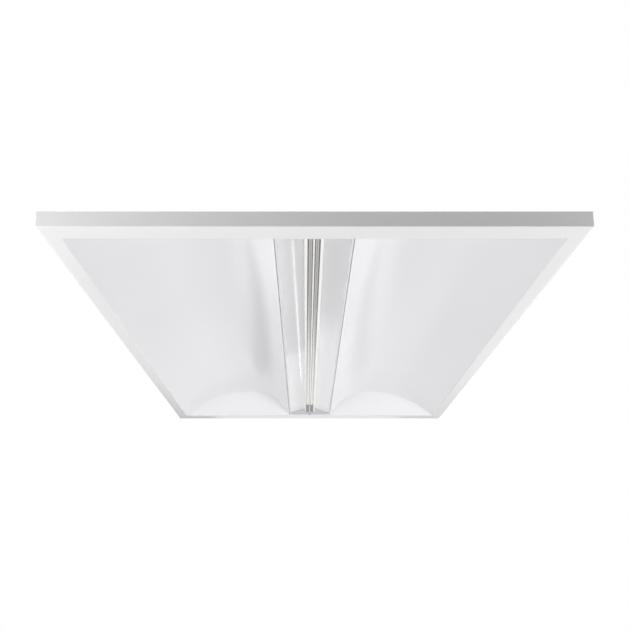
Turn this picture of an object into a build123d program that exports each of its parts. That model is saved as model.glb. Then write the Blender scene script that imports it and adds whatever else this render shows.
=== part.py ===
"""Recessed lay-in ceiling light, two feet by four, with two vaulted reflectors and a centre optic.

The frame lies in the XY plane, X across the light and Y along it, and Z points up into the
ceiling. The origin is under the middle of the light, on the plane of the frame's underside.
All sizes are millimetres. "Front" is the -Y end, where the optic hangs when it is let down.
"""
from build123d import *
from math import acos, cos, radians, sin, sqrt, tan
import os

# ---- Driving dimensions: frame -----------------------------------------------------------
WIDTH = 603.0              # over the frame, for a 610 mm grid
LENGTH = 1213.0            # over the frame, for a 1219 mm grid
FRAME_HEIGHT = 17.8        # upstand of the frame
SIDE_FLANGE = 19.5         # visible face of a side rail
END_FLANGE = 36.0          # visible face of an end rail
SHEET = 0.8                # steel sheet throughout
BEND = 1.3                 # outside radius of the frame's fold
GUSSET_MARGIN = 1.2        # gusset edge to what is round it

# ---- Driving dimensions: housing ---------------------------------------------------------
SIDE_WALL_INSET = 13.5     # frame edge to the outside of a side wall
END_WALL_INSET = 20.0      # frame edge to the outside of an end wall
ROOF_INSET = 100.0         # frame edge to the end of the flat roof
SHOULDER = 17.5            # height at which the end wall starts to lean
ROOF_UNDERSIDE = 56.0      # underside of the roof
FOOT = 10.0                # welded feet on the frame
LAP = 12.0                 # flanges that the roof is screwed to
LAP_GAP = 4.0              # between flanges that meet in a corner

# ---- Driving dimensions: reflectors ------------------------------------------------------
VAULT_PEAK_X = 129.0       # middle of the light to the top of a vault
VAULT_PEAK_Z = 46.5        # top of a vault above the frame's underside
VAULT_INNER_Z = 3.8        # inner edge of a vault
VAULT_INNER_SLOPE = 46.4   # steep flank beside the optic, degrees
VAULT_FOOT = 4.5           # flat edge that lies on the frame
END_LEAN = 50.0            # end reflector from the vertical, degrees
END_FOOT = 5.5             # its flat edge on the frame
STRIP_HEIGHT = 3.1         # end reflector where the optic passes over it

# ---- Driving dimensions: tunnel and optic ------------------------------------------------
OPTIC_HALF_WIDTH = 45.3    # outside of the tray
TUNNEL_GAP = 0.7           # tray to tunnel wall
TUNNEL_FOOT_Z = 3.4        # lower edge of a tunnel wall
TUNNEL_END_GAP = 4.5       # tunnel wall end to the frame's inner edge
TRAY_BOTTOM = 3.5          # lip of the tray
TRAY_TOP = 24.0            # outside of the tray's back
LIP = 1.8                  # ledge that carries a light guide
TRAY_END_INSET = 10.0      # frame's inner edge to the tray's end plate
END_FLANGE_REACH = 6.5     # end plate's flange, outwards
GUIDE_THICKNESS = 3.0
GUIDE_SEAT = 0.2           # light guide above its ledge
GUIDE_SIDE_GAP = 0.3
GUIDE_END_GAP = 0.5
SPINE_WIDTH = 15.5
SPINE_UNDERSIDE = 8.0
SPINE_FLANGE = 1.6         # lower flange, ribs included
SPINE_WEB = 6.0
SPINE_CAP_WIDTH = 20.0
SPINE_CAP = 1.2
RIBS = 5
GROOVE = 1.5
GROOVE_DEPTH = 0.7
BOARD_THICKNESS = 1.2
BOARD_HEIGHT = 9.0
BOARD_SEAT = 0.6           # board above the spine's flange
LED_PITCH = 40.0
LED_SIZE = (0.7, 2.8, 2.0)
LED_RAISE = 0.4            # package above the board's lower edge
LED_GAP = 0.7              # package to the light guide's edge

# ---- Driving dimensions: optic hinge, latch and contacts ---------------------------------
PIVOT_INSET = 4.5          # pivot to the outside of the front end plate
PIVOT_Z = 14.0
PIN_RADIUS = 1.5
PIN_HEAD_RADIUS = 2.8
PIN_HEAD = 0.9
PIN_REACH = 1.4            # past the tunnel wall
PIN_GAP = 0.1              # pins, studs and rivets in what turns on them
RUNNING_GAP = 0.3          # between flat faces that pass each other
FIT = 0.1                  # screws and fixed rivets in their holes
LATCH_INSET = 4.3          # stud to the rear end plate
LATCH_HEAD_RADIUS = 2.2
LATCH_HEAD = 1.0
LATCH_SLOT = (0.7, 0.5)
LATCH_GAP = 0.2            # latch head under its flange
STUD_RADIUS = 1.2
LATCH_BAR = (7.6, 2.2, 1.2)
KEEPER_Z = 7.0             # underside of the keeper
KEEPER_DEPTH = 9.5
KEEPER_EAR = 5.0
KEEPER_GAP = 0.8           # end plate to the keeper
BAR_GAP = 0.5              # bar above the keeper
SLOT_GAP = 0.9             # bar to the keeper's slot
DOCK_FROM_BOX_END = 12.0   # contacts, from the gear box's rear wall
DOCK_SIZE = (24.0, 26.0)
DOCK_EDGE = 2.0
PLUG_HEIGHT = 7.0
BLADE = (1.0, 8.0, 5.0)
BLADE_SPACING = 10.0
BLADE_GAP = 0.6
SOCKET_HEIGHT = 12.0
BRACKET_WIDTH = 18.0
BRACKET_LEG_GAP = 14.0     # clear of the driver's screw
BRACKET_FLANGE = 8.0

# ---- Driving dimensions: gear box --------------------------------------------------------
BOX_WIDTH = 110.0
BOX_LENGTH = 420.0
BOX_FRONT_Y = -30.0
BOX_HEIGHT = 32.0
CONDUIT_RADIUS = 11.1      # half-inch trade knockout
BLANK_RIM = 1.4
CONDUIT_LIFT = 1.5         # knockout above the box's floor
BLANK_DEPTH = 2.5
COVER_GAP = 0.3
COVER_LIP = 5.5
HINGE_RADIUS = 2.2         # outside of a knuckle
HINGE_PIN_RADIUS = 1.0
KNUCKLE = 26.0
KNUCKLES = 6               # in all, box and cover in turn
PIN_END = (1.8, 1.2)       # burred end of the hinge pin
HINGE_DROP = 2.6           # hinge axis below the cover
TURN_INSET = 11.0          # turn button to the box's side
TURN_BUTTON = (7.0, 3.0)
TURN_GRIP = (11.0, 2.4, 2.6)
TURN_STUD_RADIUS = 2.0
TONGUE = (9.5, 6.0, 1.2)
TONGUE_DROP = 5.0          # tongue below the cover
CATCH = (5.5, 16.0)
CATCH_CLEAR = 0.8          # tongue under its catch

# ---- Driving dimensions: driver, terminals and leads -------------------------------------
DRIVER = (42.0, 260.0, 24.0)
DRIVER_SIDE_GAP = 8.0      # driver to the box's wall
DRIVER_END_GAP = 30.0      # driver to the box's rear wall
DRIVER_EDGE = 2.0
EAR = (18.0, 9.0, 1.2)
DRIVER_SOCKET = (22.0, 1.5, 9.0)
BLOCK = (38.0, 22.0, 14.0)
BLOCK_INSET = 40.0         # terminals from the box's front wall
POLES = 3
POLE_PITCH = 12.0
LEVER = (9.4, 12.2, 2.2)
LEVER_BACK = 1.2           # lever behind its axle
LEVER_SINK = 3.3           # recess that a lever lies in
LEVER_AXLE_RADIUS = 0.9
LEVER_AXLE_DROP = 1.4
LEVER_AXLE_INSET = 5.0
LEVER_PIN = 1.1
LEVER_WALL = 2.0           # block in front of a lever
LEVER_GAP = 0.2
PORT = (3.8, 8.0, 4.0)     # opening for a building wire
PORT_LIFT = 3.0
EARTH_INSET = 18.0         # earth screw to the box's side
LEAD_RADIUS = 1.3
LEAD_PITCH = 3.9           # leads side by side
LEAD_INSERT = 4.0          # lead inside the terminal block
LEAD_STUB = 14.0
LEAD_BEND = 9.0
LEAD_LOW = 6.0             # leads above the box's floor, at the terminals
LEAD_HIGH = 10.6           # and at the driver
BUSHING_BORE = 5.0
BUSHING_WALL = 1.6
BUSHING_RIM = 2.0
BUSHING_RIM_HEIGHT = 1.4

# ---- Driving dimensions: fasteners and grid clips ----------------------------------------
SCREW_HEAD = (3.6, 2.0)
SCREW_SHANK = (1.7, 5.0)
SCREW_EDGE = 0.9           # rounding of the head
SCREW_SLOT = (1.0, 4.0, 1.2)
END_SCREW_MARGIN = 42.0    # last screw of a row to the end of its lap
ROW_SCREWS = 5
SPINE_SCREW_MARGIN = 60.0
WIRE_HOLE_RADIUS = 3.2
WIRE_HOLE_X = 250.0
WIRE_HOLE_Y = 440.0
CLIP_Y = 400.0
SHELF_TOP = 39.0           # over a 38 mm grid tee
SHELF_REACH = 12.0
SHELF_LENGTH = 16.0
CLIP_PIVOT = 6.5           # rivet from the side wall
CLIP_WIDTH = 11.0
CLIP_LENGTH = 34.0
CLIP_THICKNESS = 1.2
CLIP_GAP = 0.2
CLIP_HOOK = 5.0
RIVET_RADIUS = 2.0
RIVET_HEAD = (3.5, 1.2)

# ---- Places worked out from those sizes --------------------------------------------------
half_w = WIDTH / 2
half_l = LENGTH / 2
mouth_x = half_w - SIDE_FLANGE
mouth_y = half_l - END_FLANGE
wall_x = half_w - SIDE_WALL_INSET
wall_y = half_l - END_WALL_INSET
roof_y = half_l - ROOF_INSET
tunnel_x = OPTIC_HALF_WIDTH + TUNNEL_GAP
vault_inner_x = tunnel_x + SHEET
roof_top = ROOF_UNDERSIDE + SHEET
plate_y = mouth_y - TRAY_END_INSET
tray_y = plate_y - SHEET
flange_y = plate_y + END_FLANGE_REACH
pivot_y = -(plate_y - PIVOT_INSET)
latch_y = plate_y + LATCH_INSET
guide_half_l = tray_y - GUIDE_END_GAP
flange_underside = TRAY_BOTTOM + FIT
box_x = BOX_WIDTH / 2
box_rear_y = BOX_FRONT_Y + BOX_LENGTH
box_floor = roof_top + SHEET
box_rim = roof_top + BOX_HEIGHT
cover_under = box_rim + COVER_GAP
dock_y = box_rear_y - DOCK_FROM_BOX_END
lap_y = roof_y - LAP - LAP_GAP
driver_x = -box_x + SHEET + DRIVER_SIDE_GAP + DRIVER[0] / 2
driver_rear_y = box_rear_y - SHEET - DRIVER_END_GAP
driver_front_y = driver_rear_y - DRIVER[1]
block_front_y = BOX_FRONT_Y + BLOCK_INSET
hinge_x = -box_x - HINGE_RADIUS - RUNNING_GAP
hinge_z = cover_under - HINGE_DROP
conduit_z = box_floor + CONDUIT_LIFT + CONDUIT_RADIUS
plug_top = TRAY_TOP + PLUG_HEIGHT
socket_low = plug_top + RUNNING_GAP
socket_top = socket_low + SOCKET_HEIGHT
bushing_radius = BUSHING_BORE + BUSHING_WALL
ACROSS, ALONG, UP = (1, 0, 0), (0, 1, 0), (0, 0, 1)


# ---- Shapes used more than once ----------------------------------------------------------
def block(x, y, z):
    """A box between two values on each axis."""
    spans = (x, y, z)
    centre = [(a + b) / 2 for a, b in spans]
    return Pos(*centre) * Box(*[b - a for a, b in spans])


def rod(radius, start, length, along=UP):
    """A round bar from a point, along an axis."""
    end = [s + length * a for s, a in zip(start, along)]
    middle = [(a + b) / 2 for a, b in zip(start, end)]
    return Plane(origin=middle, z_dir=along) * Cylinder(radius, length)


def along_y(outline, y0, y1):
    """A closed XZ outline carried along Y."""
    return extrude(Pos(0, y0, 0) * make_face(outline), amount=y1 - y0, dir=ALONG)


def along_x(points, x0, x1):
    """A closed YZ polygon carried along X."""
    ring = Polyline(*[(x0, y, z) for y, z in points], close=True)
    return extrude(make_face(ring), amount=x1 - x0, dir=ACROSS)


def plan(points, z0, z1):
    """A closed XY polygon carried upwards."""
    ring = Polyline(*[(x, y, z0) for x, y in points], close=True)
    return extrude(make_face(ring), amount=z1 - z0, dir=UP)


def about(middle, size):
    """The two values of a span of some size about its middle."""
    return middle - size / 2, middle + size / 2


def spread(reach, margin, count):
    """Evenly spaced places between two ends, each end held in by a margin."""
    first = margin - reach
    return [first - 2 * first * i / (count - 1) for i in range(count)]


def to_left(shape):
    """The same piece on the other side of the light."""
    return mirror(shape, about=Plane.YZ)


def to_front(shape):
    """The same piece at the other end of the light."""
    return mirror(shape, about=Plane.XZ)


def screw(x, y, seat):
    """A pan-head screw whose head sits on a face."""
    head_radius, head_height = SCREW_HEAD
    shank_radius, shank_length = SCREW_SHANK
    head = rod(head_radius, (x, y, seat), head_height)
    head = fillet(head.edges().sort_by(Axis.Z)[-1], SCREW_EDGE)
    slot_wide, slot_long, slot_deep = SCREW_SLOT
    slot_floor = seat + head_height - slot_deep
    slot = block(about(x, slot_wide), about(y, slot_long), (slot_floor, slot_floor + head_height))
    shank = rod(shank_radius, (x, y, seat - shank_length), shank_length)
    return head - slot + shank


def screw_holes(places, z0, z1):
    """Clearance holes for screws at several places."""
    return [rod(SCREW_SHANK[0] + FIT, (x, y, z0), z1 - z0) for x, y in places]


def save(**nodes):
    """Write each named piece to its own file."""
    for name, shape in nodes.items():
        export_step(shape, "parts/" + name + ".step")


# ---- Frame -------------------------------------------------------------------------------
def rail_outline(face):
    """Section of a folded rail: X runs in from the frame's outer face."""
    inner = BEND - SHEET
    middle = 1 - sqrt(0.5)
    return [
        Line((0, 0, FRAME_HEIGHT), (0, 0, BEND)),
        ThreePointArc((0, 0, BEND), (BEND * middle, 0, BEND * middle), (BEND, 0, 0)),
        Line((BEND, 0, 0), (face, 0, 0)),
        Line((face, 0, 0), (face, 0, SHEET)),
        Line((face, 0, SHEET), (BEND, 0, SHEET)),
        ThreePointArc(
            (BEND, 0, SHEET),
            (SHEET + inner * middle, 0, SHEET + inner * middle),
            (SHEET, 0, BEND),
        ),
        Line((SHEET, 0, BEND), (SHEET, 0, FRAME_HEIGHT)),
        Line((SHEET, 0, FRAME_HEIGHT), (0, 0, FRAME_HEIGHT)),
    ]


def make_frame():
    """Four folded rails, mitred from outer corner to inner corner, and their gussets."""
    above = FRAME_HEIGHT + SHEET
    corner = (half_w, half_l)
    mouth = (mouth_x, mouth_y)
    side_plan = [corner, mouth, (mouth_x, -mouth_y), (half_w, -half_l)]
    end_plan = [corner, mouth, (-mouth_x, mouth_y), (-half_w, half_l)]
    bar = mirror(along_y(rail_outline(SIDE_FLANGE), -half_l, half_l), about=Plane.YZ)
    side = Pos(half_w, 0, 0) * bar & plan(side_plan, -SHEET, above)
    end_bar = Rot(0, 0, -90) * along_y(rail_outline(END_FLANGE), -half_w, half_w)
    end = Pos(0, half_l, 0) * end_bar & plan(end_plan, -SHEET, above)
    clear = BEND + GUSSET_MARGIN - SHEET
    gusset = block(
        (wall_x + GUSSET_MARGIN, half_w - clear),
        (wall_y + GUSSET_MARGIN, half_l - clear),
        (SHEET, 2 * SHEET),
    )
    gusset = fillet(gusset.edges().filter_by(Axis.Z), GUSSET_MARGIN)
    gussets = [gusset, to_left(gusset), to_front(gusset), to_left(to_front(gusset))]
    save(
        frame_rail_right=side,
        frame_rail_left=to_left(side),
        frame_end_rear=end,
        frame_end_front=to_front(end),
        corner_gussets=Compound(gussets),
    )


# ---- Housing -----------------------------------------------------------------------------
def end_wall_line(shift):
    """Points of the end wall's outside, moved inwards by a shift square to the wall."""
    lean = (wall_y - roof_y) / (ROOF_UNDERSIDE - SHOULDER)
    normal = sqrt(1 + lean * lean)
    knee = SHOULDER - shift * (normal - 1) / lean
    top = ROOF_UNDERSIDE - shift
    return [
        (wall_y - shift, SHEET),
        (wall_y - shift, knee),
        (wall_y - shift - (top - knee) * lean, top),
    ]


def roof_screw_places():
    """Where screws hold the roof: side laps, end laps and tunnel laps."""
    side = wall_x - SHEET - LAP / 2
    tunnel = vault_inner_x + LAP / 2
    rows = spread(lap_y, END_SCREW_MARGIN, ROW_SCREWS)
    places = [(s * side, y) for s in (-1, 1) for y in rows]
    places += [(s * wall_x / 2, e * (roof_y - LAP / 2)) for s in (-1, 1) for e in (-1, 1)]
    clear_rows = [y for y in rows if not BOX_FRONT_Y - LAP < y < box_rear_y + LAP]
    return places + [(s * tunnel, y) for s in (-1, 1) for y in clear_rows]


def box_screw_places():
    """Where screws hold the gear box to the roof."""
    x = box_x - LAP
    return [(s * x, y) for s in (-1, 1) for y in (BOX_FRONT_Y + LAP, box_rear_y - LAP)]


def driver_places():
    """The driver's two mounting holes."""
    reach = EAR[1] / 2
    return [(driver_x, driver_rear_y + reach), (driver_x, driver_front_y - reach)]


def earth_place():
    """Where the earth screw stands."""
    return box_x - EARTH_INSET, block_front_y + BLOCK[1]


def all_screw_holes(z0, z1):
    """Holes for every screw that passes the roof's laps."""
    places = roof_screw_places() + box_screw_places() + driver_places() + [earth_place()]
    return screw_holes(places, z0, z1)


def lead_hole(radius, z0, z1):
    """A hole through which the output leads pass."""
    return rod(radius, (driver_x, dock_y, z0), z1 - z0)


def make_housing():
    """Side walls with their grid-clip shelves, leaning end walls, and the roof."""
    outer = end_wall_line(0)
    outline = outer + [(-y, z) for y, z in reversed(outer)]
    side = along_x(outline, wall_x - SHEET, wall_x)
    side += block((wall_x, wall_x + FOOT), (-wall_y, wall_y), (SHEET, 2 * SHEET))
    lap = (ROOF_UNDERSIDE - SHEET, ROOF_UNDERSIDE)
    side += block((wall_x - SHEET - LAP, wall_x - SHEET), (-lap_y, lap_y), lap)
    for end in (-1, 1):
        y = end * CLIP_Y
        shelf_z = (SHELF_TOP - SHEET, SHELF_TOP)
        side += block((wall_x, wall_x + SHELF_REACH), about(y, SHELF_LENGTH), shelf_z)
        side -= rod(RIVET_RADIUS + FIT, (wall_x + CLIP_PIVOT, y, SHELF_TOP - 2 * SHEET), 3 * SHEET)
    side -= all_screw_holes(lap[0] - SHEET, lap[1] + SHEET)

    inner = end_wall_line(SHEET)
    lap_end = roof_y - LAP
    section = outer + [(lap_end, ROOF_UNDERSIDE), (lap_end, lap[0])] + list(reversed(inner))
    across = wall_x - SHEET
    end = along_x(section, -across, across)
    notch = LAP + LAP_GAP
    for side_sign in (-1, 1):
        corner = about(side_sign * (across - notch / 2), notch)
        end -= block(corner, (lap_end - SHEET, inner[-1][0]), lap)
    end += block((-across, across), (wall_y, wall_y + FOOT), (SHEET, 2 * SHEET))
    end -= all_screw_holes(lap[0] - SHEET, lap[1] + SHEET)

    roof = block((-wall_x, wall_x), (-roof_y, roof_y), (ROOF_UNDERSIDE, roof_top))
    roof -= all_screw_holes(lap[0] - SHEET, roof_top + SHEET)
    roof -= lead_hole(bushing_radius + FIT, lap[0], roof_top + SHEET)
    wires = [(s * WIRE_HOLE_X, e * WIRE_HOLE_Y) for s in (-1, 1) for e in (-1, 1)]
    roof -= [rod(WIRE_HOLE_RADIUS, (x, y, lap[0]), 3 * SHEET) for x, y in wires]
    save(
        housing_side_right=side,
        housing_side_left=to_left(side),
        housing_end_rear=end,
        housing_end_front=to_front(end),
        housing_top=roof,
        roof_screws=Compound([screw(x, y, roof_top) for x, y in roof_screw_places()]),
    )


# ---- Reflectors --------------------------------------------------------------------------
def vault_arc(centre, radius, angle_a, angle_b):
    """An arc about a centre in XZ; angles are turned from straight up towards +X."""
    def at(angle):
        return (centre[0] + radius * sin(angle), 0, centre[1] + radius * cos(angle))
    return ThreePointArc(at(angle_a), at((angle_a + angle_b) / 2), at(angle_b))


def vault_skin(lift):
    """The vault's curve from its inner edge to its foot, lifted square to the sheet."""
    slope = radians(VAULT_INNER_SLOPE)
    run = VAULT_PEAK_X - vault_inner_x
    rise = VAULT_PEAK_Z - VAULT_INNER_Z
    inner_radius = (tan(slope) * run - rise) / (tan(slope) * sin(slope) + cos(slope) - 1)
    span = mouth_x - VAULT_PEAK_X
    drop = VAULT_PEAK_Z - SHEET
    outer_radius = (span * span + drop * drop) / (2 * drop)
    inner_centre = (VAULT_PEAK_X, VAULT_PEAK_Z - inner_radius)
    outer_centre = (VAULT_PEAK_X, VAULT_PEAK_Z - outer_radius)
    foot_angle = acos((SHEET + lift - outer_centre[1]) / (outer_radius + lift))
    start = (vault_inner_x, 0, VAULT_INNER_Z + lift / cos(slope))
    inner_arc = vault_arc(inner_centre, inner_radius + lift, -slope, 0)
    outer_arc = vault_arc(outer_centre, outer_radius + lift, 0, foot_angle)
    return [Line(start, inner_arc @ 0), inner_arc, outer_arc], start, outer_arc @ 1


def end_slab(thickness):
    """A leaning slab at the rear, its lower face starting at the frame's inner edge."""
    lean = radians(END_LEAN)
    height = VAULT_PEAK_Z + 3 * SHEET
    far = thickness / cos(lean)
    run = (height - SHEET) * tan(lean)
    foot = [(mouth_y, SHEET), (mouth_y + far, SHEET)]
    crest = [(y - run, height) for y, _ in reversed(foot)]
    return along_x(foot + crest, -half_w, half_w)


def make_reflectors():
    """Two vaults cut to the leaning ends, and an end reflector at each end."""
    lower, lower_start, lower_foot = vault_skin(0)
    upper, upper_start, upper_foot = vault_skin(SHEET)
    tip = mouth_x + VAULT_FOOT
    section = lower + upper + [
        Line(lower_foot, (tip, 0, SHEET)),
        Line((tip, 0, SHEET), (tip, 0, 2 * SHEET)),
        Line((tip, 0, 2 * SHEET), upper_foot),
        Line(lower_start, upper_start),
    ]
    room = end_slab(half_l)
    wing = along_y(section, -mouth_y, mouth_y) - room - to_front(room)

    hollow = upper + [
        Line(upper_foot, (upper_foot.X, 0, SHEET)),
        Line((upper_foot.X, 0, SHEET), (vault_inner_x, 0, SHEET)),
        Line((vault_inner_x, 0, SHEET), upper_start),
    ]
    lobe = along_y(hollow, 0, half_l)
    strip = block((-tunnel_x - SHEET, tunnel_x + SHEET), (0, half_l), (SHEET, STRIP_HEIGHT))
    panel = end_slab(SHEET) & (lobe + to_left(lobe) + strip)
    panel += block((-mouth_x, mouth_x), (mouth_y, mouth_y + END_FOOT), (SHEET, 2 * SHEET))
    save(
        reflector_wing_right=wing,
        reflector_wing_left=to_left(wing),
        end_reflector_rear=panel,
        end_reflector_front=to_front(panel),
    )


# ---- Tunnel ------------------------------------------------------------------------------
def make_tunnel():
    """Two walls that hang from the roof, carry the vaults' inner edges and the optic."""
    end = mouth_y - TUNNEL_END_GAP
    lean = (wall_y - roof_y) / (ROOF_UNDERSIDE - SHOULDER)
    inner = end_wall_line(SHEET + RUNNING_GAP)
    shoulder = inner[1][1] + (inner[1][0] - end) / lean
    half = [(end, TUNNEL_FOOT_Z), (end, shoulder), (lap_y, ROOF_UNDERSIDE)]
    outline = half + [(-y, z) for y, z in reversed(half)]
    wall = along_x(outline, tunnel_x, tunnel_x + SHEET)
    wall += block(
        (vault_inner_x, vault_inner_x + LAP),
        (-lap_y, lap_y),
        (ROOF_UNDERSIDE - SHEET, ROOF_UNDERSIDE),
    )
    wall -= all_screw_holes(ROOF_UNDERSIDE - 2 * SHEET, roof_top)
    wall -= rod(PIN_RADIUS + PIN_GAP, (tunnel_x - SHEET, pivot_y, PIVOT_Z), 3 * SHEET, ACROSS)

    near = plate_y + KEEPER_GAP
    span = (near, near + KEEPER_DEPTH)
    keeper = block((-tunnel_x, tunnel_x), span, (KEEPER_Z, KEEPER_Z + SHEET))
    for side in (-1, 1):
        ear = sorted((side * tunnel_x, side * (tunnel_x - SHEET)))
        keeper += block(ear, span, (KEEPER_Z, KEEPER_Z + KEEPER_EAR))
    slot_x = LATCH_BAR[0] / 2 + SLOT_GAP
    slot_y = LATCH_BAR[1] / 2 + SLOT_GAP
    keeper -= block(
        (-slot_x, slot_x),
        (latch_y - slot_y, latch_y + slot_y),
        (KEEPER_Z - SHEET, KEEPER_Z + 2 * SHEET),
    )
    save(tunnel_wall_right=wall, tunnel_wall_left=to_left(wall), latch_keeper=keeper)


# ---- Optic -------------------------------------------------------------------------------
def guide_underside(x):
    """Height of a light guide's lower face at a distance from the middle."""
    inner_x = SPINE_WIDTH / 2
    outer_x = OPTIC_HALF_WIDTH - SHEET - GUIDE_SIDE_GAP
    inner_z = SPINE_UNDERSIDE + SPINE_FLANGE + GUIDE_SEAT
    outer_z = TRAY_BOTTOM + SHEET + GUIDE_SEAT
    return outer_z + (outer_x - x) * (inner_z - outer_z) / (outer_x - inner_x)


def make_tray():
    """The optic's folded tray, its two end plates and its hinge pins."""
    outer = OPTIC_HALF_WIDTH
    inner = outer - SHEET
    span = (-tray_y, tray_y)
    tray = block((-outer, outer), span, (TRAY_TOP - SHEET, TRAY_TOP))
    for side in (-1, 1):
        tray += block(sorted((side * inner, side * outer)), span, (TRAY_BOTTOM, TRAY_TOP))
        lip = sorted((side * (inner - LIP), side * inner))
        tray += block(lip, span, (TRAY_BOTTOM, TRAY_BOTTOM + SHEET))
    tray -= rod(PIN_RADIUS, (-half_w, pivot_y, PIVOT_Z), WIDTH, ACROSS)
    tray -= screw_holes(spine_screw_places(), TRAY_TOP - 2 * SHEET, TRAY_TOP + SHEET)
    end = block((-outer, outer), (tray_y, plate_y), (flange_underside, TRAY_TOP))
    end += block((-outer, outer), (plate_y, flange_y), (flange_underside, flange_underside + SHEET))
    rear = end - rod(STUD_RADIUS + PIN_GAP, (0, latch_y, TRAY_BOTTOM - SHEET), 3 * SHEET)
    pin = rod(PIN_HEAD_RADIUS, (inner - PIN_HEAD, pivot_y, PIVOT_Z), PIN_HEAD, ACROSS)
    pin += rod(PIN_RADIUS, (inner, pivot_y, PIVOT_Z), 2 * SHEET + TUNNEL_GAP + PIN_REACH, ACROSS)
    save(
        optic_tray=tray,
        optic_end_rear=rear,
        optic_end_front=to_front(end),
        optic_hinge_pins=Compound([pin, to_left(pin)]),
    )


def spine_screw_places():
    """Where screws hold the spine to the tray."""
    return [(0, y) for y in spread(guide_half_l, SPINE_SCREW_MARGIN, ROW_SCREWS)]


def make_spine():
    """The ribbed spine, extruded in aluminium, and the screws that hold it."""
    half = SPINE_WIDTH / 2
    flange_top = SPINE_UNDERSIDE + SPINE_FLANGE
    cap_top = TRAY_TOP - SHEET
    reach = (-guide_half_l, guide_half_l)
    rib = (SPINE_WIDTH - (RIBS - 1) * GROOVE) / RIBS
    body = block(about(0, SPINE_WIDTH), reach, (SPINE_UNDERSIDE, flange_top))
    for i in range(RIBS - 1):
        x = -half + rib + i * (rib + GROOVE)
        body -= block((x, x + GROOVE), (-half_l, half_l), (0, SPINE_UNDERSIDE + GROOVE_DEPTH))
    body += block(about(0, SPINE_WEB), reach, (flange_top, cap_top))
    body += block(about(0, SPINE_CAP_WIDTH), reach, (cap_top - SPINE_CAP, cap_top))
    body -= screw_holes(spine_screw_places(), TRAY_TOP - SCREW_SHANK[1] - FIT, TRAY_TOP)
    screws = [screw(x, y, TRAY_TOP) for x, y in spine_screw_places()]
    save(spine=body, spine_screws=Compound(screws))


def make_lighting():
    """Light guides, and the LED boards that shine into their inner edges."""
    edge = SPINE_WEB / 2 + BOARD_THICKNESS + LED_SIZE[0] + LED_GAP
    outer = OPTIC_HALF_WIDTH - SHEET - GUIDE_SIDE_GAP
    low = [(x, 0, guide_underside(x)) for x in (edge, outer)]
    high = [(x, 0, z + GUIDE_THICKNESS) for x, _, z in reversed(low)]
    guide = along_y(Polyline(*low, *high, close=True), -guide_half_l, guide_half_l)
    foot = SPINE_UNDERSIDE + SPINE_FLANGE + BOARD_SEAT
    face = SPINE_WEB / 2
    reach = (-guide_half_l, guide_half_l)
    board = block((face, face + BOARD_THICKNESS), reach, (foot, foot + BOARD_HEIGHT))
    count = int(2 * guide_half_l / LED_PITCH)
    first = -(count - 1) * LED_PITCH / 2
    front = face + BOARD_THICKNESS
    deep, wide, tall = LED_SIZE
    led_low = foot + LED_RAISE
    leds = [
        block((front, front + deep), about(first + i * LED_PITCH, wide), (led_low, led_low + tall))
        for i in range(count)
    ]
    save(
        light_guide_right=guide,
        light_guide_left=to_left(guide),
        led_board_right=board,
        led_board_left=to_left(board),
        leds_right=Compound(leds),
        leds_left=Compound([to_left(led) for led in leds]),
    )


def make_latch():
    """The quarter-turn stud at the rear of the optic, drawn released."""
    top = KEEPER_Z + SHEET + BAR_GAP
    head_top = flange_underside - LATCH_GAP
    stud = rod(LATCH_HEAD_RADIUS, (0, latch_y, head_top - LATCH_HEAD), LATCH_HEAD)
    slot_wide, slot_deep = LATCH_SLOT
    slot_roof = head_top - LATCH_HEAD + slot_deep
    stud -= block(about(0, 2 * LATCH_HEAD_RADIUS), about(latch_y, slot_wide), (0, slot_roof))
    stud += rod(STUD_RADIUS, (0, latch_y, head_top), top - head_top)
    length, width, height = LATCH_BAR
    stud += block(about(0, length), about(latch_y, width), (top, top + height))
    save(optic_latch=stud)


def make_contacts():
    """Contacts that part when the optic drops: plug on the tray, socket on a bracket."""
    wide, long = DOCK_SIZE
    x = about(driver_x, wide)
    y = about(dock_y, long)
    plug = block(x, y, (TRAY_TOP, plug_top))
    plug = fillet(plug.edges().filter_by(Axis.Z), DOCK_EDGE)
    socket = block(x, y, (socket_low, socket_top))
    socket = fillet(socket.edges().filter_by(Axis.Z), DOCK_EDGE)
    thick, run, tall = BLADE
    pocket = plug_top + tall + BLADE_GAP
    for side in (-1, 1):
        middle = driver_x + side * BLADE_SPACING / 2
        plug += block(about(middle, thick), about(dock_y, run), (plug_top, plug_top + tall))
        gap = 2 * BLADE_GAP
        socket -= block(about(middle, thick + gap), about(dock_y, run + gap), (plug_top, pocket))
    plate = block(
        about(driver_x, BRACKET_WIDTH),
        about(dock_y, long + 2 * BRACKET_LEG_GAP),
        (socket_top, socket_top + SHEET),
    )
    plate -= lead_hole(bushing_radius, socket_top - SHEET, socket_top + 2 * SHEET)
    for end in (-1, 1):
        leg = dock_y + end * (long / 2 + BRACKET_LEG_GAP)
        rise = sorted((leg, leg + end * SHEET))
        plate += block(about(driver_x, BRACKET_WIDTH), rise, (socket_top, ROOF_UNDERSIDE))
        flange = sorted((leg, leg - end * BRACKET_FLANGE))
        lap = (ROOF_UNDERSIDE - SHEET, ROOF_UNDERSIDE)
        plate += block(about(driver_x, BRACKET_WIDTH), flange, lap)
    save(docking_plug=plug, docking_socket=socket, docking_bracket=plate)


# ---- Gear box ----------------------------------------------------------------------------
def knuckle_spans():
    """Y spans of the hinge's knuckles, front to rear."""
    step = BOX_LENGTH / KNUCKLES
    first = BOX_FRONT_Y + (step - KNUCKLE) / 2
    return [(first + i * step, first + i * step + KNUCKLE) for i in range(KNUCKLES)]


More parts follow.
